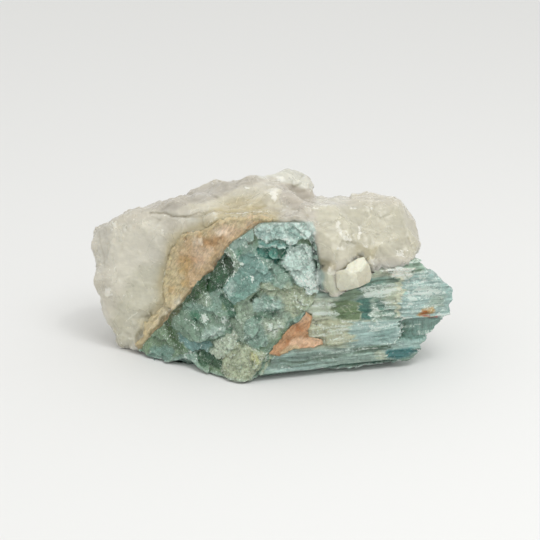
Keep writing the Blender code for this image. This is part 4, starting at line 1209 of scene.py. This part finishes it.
# ---------------------------------------------------------------- quartz
QUARTZ_SPACING = 0.48
QUARTZ_TRIANGLES = 190000
SMOOTH_FACE = (np.array((-42, -2, 28)), 15.0)  # the quartz's glassy left face, and how far it reaches
QUARTZ_PATCHES = [
    # Painted light: a paler glow, as light shows through the milky quartz.
    ("glow", 0.9, 9.0, (108,228, 165,216, 165,258, 142,286, 112,288, 100,260)),
    ("low_beige", 0.85, 7.0, (138,268, 168,262, 168,300, 152,322, 140,347, 120,347, 112,322, 116,300)),
    ("beige", 0.7, 2.0, (112,320, 120,317, 130,318, 122,327, 124,346, 116,343)),
    ("milk", 0.6, 3.0, (94,232, 104,228, 106,262, 98,284, 94,268)),
    ("beige", 0.9, 6.0, (316,208, 330,206, 370,206, 402,206, 418,240, 420,258, 372,256, 336,262, 318,262)),
    ("smoke", 0.9, 1.6, (148,208, 163,200, 180,195, 195,188, 210,184, 222,182, 235,176, 255,173, 278,174,
        262,182, 247,184, 238,187, 230,192, 222,198, 212,201, 200,202, 186,204, 176,209, 160,211)),
    # Painted shade: a darker warm patch below the knob.
    ("shade_below_knob", 0.95, 1.6, (281,182, 300,187, 315,188, 317,196, 314,203, 306,208, 298,212, 290,207,
        284,201, 280,195)),
    ("cream", 0.95, 1.1, (182,208, 190,204, 205,203, 215,201, 224,197, 230,191, 240,188, 250,186, 262,187,
        272,186, 281,189, 280,195, 277,202, 286,206, 289,210, 280,209, 265,205, 255,208, 245,211, 232,211,
        222,210, 210,209, 200,211, 190,210)),
    ("knob", 0.9, 1.2, (258,178, 264,170, 272,166, 286,164, 302,166, 309,176, 314,186, 314,189, 300,188,
        285,183, 274,178)),
    ("knob", 0.7, 1.4, (186,217, 204,219, 206,223, 188,222)),
    ("milk", 0.6, 2.0, (316,190, 330,192, 348,192, 346,204, 330,206, 316,204)),
    ("straw", 0.55, 3.0, (356,244, 378,246, 374,262, 350,262)),
    ("straw", 0.6, 2.5, (316,258, 334,262, 336,270, 320,271)),
    ("under", 0.85, 2.5, (320,272, 334,272, 336,284, 340,293, 328,296, 320,284)),
    ("ice", 0.85, 1.5, (300,221, 313,222, 315,232, 315,244, 317,256, 321,266, 324,276, 323,290, 318,296,
        313,292, 308,250, 304,240)),
    ("frost", 0.5, 2.0, (334,219, 341,221, 345,230, 351,233, 353,241, 352,249, 346,252, 338,250, 336,246,
        342,240, 336,230)),
    ("frost", 0.55, 1.6, (357,225, 361,226, 361,240, 358,240)),
    ("frost", 0.8, 1.2, (361,243, 368,245, 367,248, 362,247)),
    ("frost", 0.7, 1.6, (395,249, 405,250, 405,258, 396,257)),
    ("frost", 1.0, 1.0, (276,177, 283,176, 285,181, 278,180)),
    ("frost", 0.6, 1.6, (264,191, 270,187, 276,187, 282,190, 277,193, 277,201, 272,202, 269,195)),
    ("frost", 0.9, 0.8, (243,186, 250,187, 249,189, 244,189)),
    ("frost", 0.9, 0.8, (245,200, 249,201, 248,203)),
    ("frost", 0.8, 1.2, (284,205, 290,206, 289,210)),
    ("frost", 0.7, 2.0, (103,288, 112,288, 114,297, 104,297)),
    ("frost", 0.5, 2.0, (109,221, 118,220, 118,230, 110,230)),
    ("frost", 0.45, 2.5, (119,226, 132,222, 134,232, 122,234)),
    ("frost", 0.5, 1.2, (160,229, 164,230, 163,236, 160,235)),
    ("frost", 0.4, 1.2, (155,257, 159,258, 158,265)),
]
QUARTZ_LINES = [
    ("crack", 0.9, 1.1, (150,213, 165,212, 172,216, 185,216, 192,214, 205,213, 215,210, 228,212, 240,212,
        250,210, 258,207, 266,205)),
    ("crack", 0.6, 1.3, (185,216, 200,217, 206,214)),
    ("crack", 0.5, 1.0, (292,209, 302,212, 308,218)),
    ("frost", 0.45, 0.9, (212,214, 240,213, 262,211, 300,211)),
    ("frost", 0.9, 0.8, (305,207, 312,207, 318,209)),
    ("frost", 0.5, 1.0, (316,205, 330,206, 336,203)),
    ("frost", 0.6, 0.9, (350,208, 360,208)),
    ("frost", 0.6, 1.0, (362,206, 368,208, 373,209)),
    ("frost", 0.6, 0.9, (309,221, 313,230, 315,240)),
    ("frost", 0.45, 0.9, (118,277, 125,287)),
    ("frost", 0.5, 0.9, (120,327, 130,318, 137,313)),
    ("crack", 0.45, 0.9, (99,232, 102,250, 104,266)),
    ("crack", 0.4, 0.9, (137,311, 146,311)),
]
OPEN_CRACK = QUARTZ_LINES[0][3]
SHIFTS = [  # where the quartz's outline moves: right, down, reach, and by how much to the right and up
    (231.0, 176.0, 15.0, 0.0, -1.6), (372.0, 198.0, 16.0, 0.0, 1.8), (396.0, 208.0, 15.0, 0.4, 2.0),
    (412.0, 224.0, 10.0, 0.0, 1.0), (424.0, 254.0, 11.0, -2.0, 0.0),
]
PITS = [  # smoothed out
    (336,261, 349,261, 349,269, 344,273, 335,273),
    (347,252, 356,244, 366,244, 368,256, 362,253, 354,256),
]
GRAIN_SHAPE = (334,275, 336,271, 346,269, 347,265, 352,259, 358,257, 363,255, 366,260, 370,266, 372,275,
               370,282, 360,287, 348,290, 340,291, 337,287)


def quartz_relief(quartz, u, v):
    """How far the quartz's scars, planes, chips and crack stand out of its plain lumps."""
    at = quartz.at
    glassy = np.exp(-((np.linalg.norm(at - SMOOTH_FACE[0], axis=1) / SMOOTH_FACE[1]) ** 4))
    bent = at + 1.2 * rows(*(swell(at, 5.0, salt) for salt in (75, 76, 77)))
    unseen = soft(quartz.out @ FORWARD, -0.25, 0.15)
    relief = 0.34 * shells(bent, 8.0, 71, 0.5, 1.1) * (1 - 0.4 * glassy - 0.3 * unseen)
    relief += 0.26 * shells(bent, 3.8, 72, 0.5, 1.2) * (1 - 0.6 * glassy - 0.6 * unseen)
    planes = 0.6 * flakes(bent, 5.5, 74, 0.4, 0.1)[0] + 0.5 * flakes(bent, 11.0, 78, 0.3, 0.06)[0]
    relief += planes * (0.6 - 0.4 * glassy + 0.75 * unseen)
    chipped = 0.1 + 0.4 * quartz_frost(at, u, v) + 0.1 * unseen
    relief += chipped * flakes(bent, 1.5, 73, 0.6, 0.2)[0] * (1 - 0.8 * glassy)
    return relief - 0.5 * hump(along_edge(OPEN_CRACK, u, v), 1.4) * quartz.facing()


def make_quartz(others):
    quartz = pressed("quartz", "quartz_matrix", 0.6, QUARTZ_SPACING)
    at = quartz.at
    hidden = quartz.hidden(4)
    u, v = seen(at)
    at += (quartz_relief(quartz, u, v) * (1 - hidden) * soft(at[:, 2], 0.2, 1.0))[:, None] * quartz.out
    for right, down, reach, over, up in SHIFTS:
        share = np.exp(-(((u - right) ** 2 + (v - down) ** 2) / reach**2))
        at[:, 0] += over * share
        at[:, 2] += up * share
    beside_end = soft(u, 336, 316) * soft(u, 296, 304) * soft(v, 222, 238) * soft(v, 302, 294)
    beside_grain = patch(GRAIN_SHAPE, u, v, -9.0, -2.0)
    at += (quartz.facing() * np.maximum(1.5 * beside_end, 0.9 * beside_grain))[:, None] * FORWARD
    quartz.smooth_out(PITS, 90)
    quartz.write()
    quartz.meet(others, keep=patch(GRAIN_SHAPE, *seen(quartz.at), -12.0, -7.0))
    quartz.smooth_out(PITS, 25)
    quartz.write()
    quartz.thin(1 - hidden, QUARTZ_TRIANGLES)
    paint_quartz(quartz)
    quartz.finish("quartz_matrix", "quartz", quartz_finish())


def quartz_frost(at, u, v):
    """Where the quartz is frosted: the named patches, and some of the rest."""
    frost, tint = np.zeros(len(at)), np.zeros((len(at), 3))
    lay(tint, frost, u, v, [p for p in QUARTZ_PATCHES if p[0] == "frost"])
    return np.maximum(frost, 0.5 * soft(rough(at, 11.0, 84), 0.35, 0.6))


def paint_quartz(quartz):
    at = quartz.at
    u, v = seen(at)
    u = u + swells(at, (1.6, 3.0, 85), (0.8, 1.2, 86))
    v = v + swells(at, (1.2, 3.0, 87), (0.6, 1.2, 88))
    around = np.tile(tone("quartz", MILKY), (len(at), 1))
    toward(around, 0.5 * soft(rough(at, 16.0, 89), -0.1, 0.5), "smoke", MILKY)
    tint = around.copy()
    frost = quartz_frost(at, u, v)
    lay(tint, frost, u, v, QUARTZ_PATCHES, QUARTZ_LINES, MILKY)
    toward(around, 0.6 * soft(rough(at, 12.0, 90), -0.1, 0.5), "cream", MILKY)
    beside_end = soft(u, 302, 307) * soft(u, 324, 319) * soft(v, 224, 230) * soft(v, 302, 296)
    toward(around, beside_end, "sage_teal", MILKY)
    facing = quartz.facing(0.1, 0.5) * beside_end + quartz.facing() * (1 - beside_end)
    tint = around + facing[:, None] * (tint - around)
    x, z = at[:, 0] + 1.5 * rough(at, 9.0, 81), at[:, 2] + 1.5 * rough(at, 9.0, 82)
    from_band = along_edge(BAND_EDGE, x, z)
    stain = soft(at[:, 1], 6.0, 0.0) * soft(at[:, 2], 4.0, 12.0)
    toward(tint, 0.5 * soft(from_band, 4.4, 0.6) * stain, "straw", MILKY)
    toward(tint, 0.75 * soft(from_band, 2.4, 0.2) * stain, "tan_straw", MILKY)
    # Painted shade: the quartz is darkened a little in its hollows.
    hollow_shade = soft(quartz.relief(60), -0.3, -1.6)
    quartz.mark("tint", tint * (1 - 0.12 * hollow_shade)[:, None])
    quartz.mark("frost", np.clip(frost + soft(quartz.relief(5), 0.05, 0.2) * 0.35, 0, 1))


# ---------------------------------------------------------------- feldspars
FELDSPAR_OVERLAP = 1.2 * OVERLAP
BAND_PATCHES = [
    ("tan_straw", 0.9, 4.0, (160,272, 182,262, 190,290, 176,306, 160,320, 140,345, 134,340, 150,300)),
    ("tan_pink", 0.85, 4.0, (204,212, 264,212, 262,226, 236,230, 222,238, 204,232, 196,226)),
    ("tan_orange", 0.7, 2.0, (186,224, 200,222, 204,232, 198,238, 188,234)),
    ("tan_brown", 0.6, 2.2, (196,234, 206,234, 216,238, 222,234, 226,238, 218,244, 212,248, 202,246)),
    ("tan_gold", 0.65, 2.5, (178,258, 190,256, 194,266, 188,276, 180,272)),
    ("tan_orange", 0.7, 1.5, (190,256, 204,257, 204,263, 192,262)),
    ("tan_gold", 0.6, 2.0, (180,280, 190,278, 190,288, 182,286)),
    ("tan_gold", 0.5, 2.0, (168,286, 176,286, 175,294, 168,294)),
    ("tan_pink", 0.6, 3.0, (196,242, 206,246, 214,250, 206,264, 196,268, 192,252)),
    ("pink_white", 0.7, 2.0, (189,230, 194,230, 199,242, 194,244)),
    ("pink_white", 0.8, 1.0, (199,238, 203,239, 204,244, 200,243)),
    ("pink_white", 0.7, 1.4, (206,224, 212,224, 211,229, 206,228)),
    ("pink_white", 0.6, 1.8, (210,226, 222,228, 228,233, 214,233)),
    ("cream", 0.7, 2.2, (162,306, 178,296, 182,302, 168,314, 154,326, 146,330, 148,318)),
    ("tan_straw", 0.7, 2.0, (146,311, 158,312, 156,326, 146,326)),
]
BAND_LINES = [
    ("tan_orange", 0.8, 0.9, (246,226, 254,222, 262,222)),
    ("tan_orange", 0.6, 1.0, (211,222, 212,217, 218,216)),
    ("tan_brown", 0.5, 0.8, (204,240, 212,246, 218,252)),
    ("dark_olive", 0.8, 1.0, (227,242, 229,241)),
    ("dark_olive", 0.5, 1.2, (191,283, 192,285)),
    ("brown_olive", 0.7, 1.7, (150,334, 160,323, 172,312, 184,300, 195,288)),
]
WEDGE_PATCHES = [
    ("orange_pale", 0.8, 2.0, (292,340, 300,338, 312,337, 323,338, 323,345, 308,347, 288,350)),
    ("orange_brown", 0.7, 1.5, (297,325, 301,324, 301,331, 297,332)),
    ("orange_brown", 0.5, 1.2, (287,340, 292,338, 290,346, 286,348)),
    ("orange_pale", 0.7, 2.0, (292,322, 300,317, 306,313, 312,318, 304,324, 296,326)),
    ("tan_straw", 0.6, 1.6, (280,350, 300,346, 304,352, 284,357)),
]
GRAIN_PATCHES = [
    # Painted light and shade: the grain's facets as lit and shaded copies of its cream.
    ("grain_lit_face", 0.9, 0.5, (346,269, 352,258, 363,254, 367,265, 360,271, 353,274)),
    ("grain_shade_and_seams", 0.9, 0.5, (353,274, 360,271, 370,266, 374,278, 371,284, 360,289, 357,282)),
    ("grain_shade_and_seams", 0.5, 0.6, (333,275, 336,271, 346,269, 343,276, 338,284)),
]
GRAIN_LINES = [
    # Painted highlights along the grain's lit ridges.
    ("grain_lit_face", 0.8, 0.6, (347,268, 353,274, 361,271)),
    ("grain_lit_face", 0.6, 0.6, (353,274, 357,282, 360,288)),
    ("under", 0.6, 0.5, (346,269, 343,276, 339,285)),
]


def paint_feldspar(piece, base, patches, lines, turn, stretch, salt):
    """Marks a feldspar with its patches, and with places stretched along its fibres."""
    at = piece.at
    u, v = seen(at)
    u = u + swells(at, (2.4, 2.2, salt), (1.4, 0.9, salt + 1))
    v = v + swells(at, (2.4, 2.2, salt + 2), (1.4, 0.9, salt + 3))
    tint, frost = np.tile(tone(base, DULL), (len(at), 1)), np.zeros(len(at))
    lay(tint, frost, u, v, patches, lines, DULL)
    if base == "tan":
        from_edge = along_edge(BAND_EDGE, at[:, 0], at[:, 2]) + 1.9 * rough(at, 2.2, salt + 4)
        toward(tint, 0.85 * soft(from_edge, 2.8, 0.2), "tan_straw", DULL)
    along, across = turned(at[:, 0], at[:, 2], math.radians(turn))
    piece.mark("tint", tint)
    piece.mark("frost", frost)
    piece.mark("grain", rows(along / stretch, at[:, 1] / 1.5, across))


def make_band(crystal_shape):
    band = pressed("tan_feldspar", "feldspar_band", 0.4, 0.34, FELDSPAR_OVERLAP, 0.1)
    at = band.at
    steps = 0.2 * shells(at, 2.6, 91) + 0.5 * flakes(at, 1.4, 98)[0] + 0.12 * rough(at, 1.2, 92)
    at += steps[:, None] * band.out
    band.meet([crystal_shape])
    band.write()
    paint_feldspar(band, "tan", BAND_PATCHES, BAND_LINES, 55, 3.0, 93)
    finish = feldspar_finish("tan_feldspar", "tan_brown", "pink_white", seam=0.35, contrast=1.1)
    band.finish("feldspar_band", "tan_feldspar", finish)
    return shape_of(band.piece.data)


def make_wedge():
    wedge = pressed("orange_feldspar", "feldspar_wedge", 0.3, 0.26, FELDSPAR_OVERLAP, 0.35)
    at = wedge.at
    at += (0.25 * shells(at, 1.6, 95) + 0.5 * flakes(at, 1.0, 99)[0])[:, None] * wedge.out
    wedge.hold_in(WEDGE_SHAPE, 2.2)
    wedge.write()
    paint_feldspar(wedge, "orange", WEDGE_PATCHES, (), 40, 2.5, 96)
    finish = feldspar_finish("orange_feldspar", "orange_brown", "orange_pale")
    wedge.finish("feldspar_wedge", "orange_feldspar", finish)
    return shape_of(wedge.piece.data)


def make_grain():
    grain = Surface("cream_feldspar", "feldspar_grain")
    grain.even_out(0.22)
    steps = 0.3 + 0.1 * flakes(grain.at, 2.4, 97)[0] + 0.03 * rough(grain.at, 0.8, 90)
    grain.at += steps[:, None] * grain.out
    grain.hold_in(GRAIN_SHAPE, 0.3)
    u, v = seen(grain.at)
    faces = 0.03 * (u - 352) - 0.02 * (v - 274), 0.05 * (v - 274), -0.05 * (u - 354) - 0.01 * (v - 274), 0 * u
    grain.at -= np.min(faces, axis=0)[:, None] * FORWARD
    grain.write()
    paint_feldspar(grain, "grain_cream", GRAIN_PATCHES, GRAIN_LINES, 20, 1.5, 99)
    finish = feldspar_finish("cream_feldspar", "grain_shade_and_seams", "knob", seam=0.3, contrast=0.35)
    grain.finish("feldspar_grain", "cream_feldspar", finish)
    return shape_of(grain.piece.data)


# ---------------------------------------------------------------- floor, light and camera
FLOOR_HALF = 3.0
PAPER = (0.73, 0.734, 0.73, 1.0)
ROOM = (0.985, 0.98, 0.96, 1.0)
ROOM_STRENGTH = 0.97
LIT_SPOT = Vector((0, 0, 0.02))
LIGHTS = (("softbox", (0.16, -0.24, 0.5), 0.34, 0.9), ("glint", (0.25, -0.3, 0.8), 0.08, 0.5))


def make_floor():
    mesh = bpy.data.meshes.new("floor")
    corners = [(x * FLOOR_HALF, y * FLOOR_HALF, 0) for x, y in ((-1, -1), (1, -1), (1, 1), (-1, 1))]
    mesh.from_pydata(corners, [], [(0, 1, 2, 3)])
    floor = show("floor", mesh)
    mesh.materials.append(new_material("paper", Base_Color=PAPER, Roughness=0.9, Specular_IOR_Level=0.1)[0])


def light_up():
    world = bpy.data.worlds.new("room")
    world.use_nodes = True
    background = world.node_tree.nodes["Background"].inputs
    fill(world.node_tree, background, {"Color": ROOM, "Strength": ROOM_STRENGTH})
    bpy.context.scene.world = world
    for name, place, size, power in LIGHTS:
        lamp = bpy.data.lights.new(name, "AREA")
        lamp.shape = "DISK"
        lamp.size = size
        lamp.energy = power
        holder = show(name, lamp)
        holder.location = place
        holder.rotation_euler = (LIT_SPOT - Vector(place)).to_track_quat("-Z", "Y").to_euler()


def set_camera():
    camera = bpy.data.cameras.new("camera")
    camera.sensor_width = SENSOR
    camera.lens = SENSOR / 2 / math.tan(FIELD_OF_VIEW / 2)
    holder = show("camera", camera)
    holder.location = (CAMERA_TARGET - CAMERA_DISTANCE * FORWARD) * MM
    holder.rotation_euler = Vector(FORWARD).to_track_quat("-Z", "Y").to_euler()
    bpy.context.scene.camera = holder


crystal_shape = make_aquamarine()
make_quartz([crystal_shape, make_band(crystal_shape), make_wedge(), make_grain()])
make_floor()
light_up()
set_camera()
bpy.context.scene.view_settings.view_transform = "Standard"
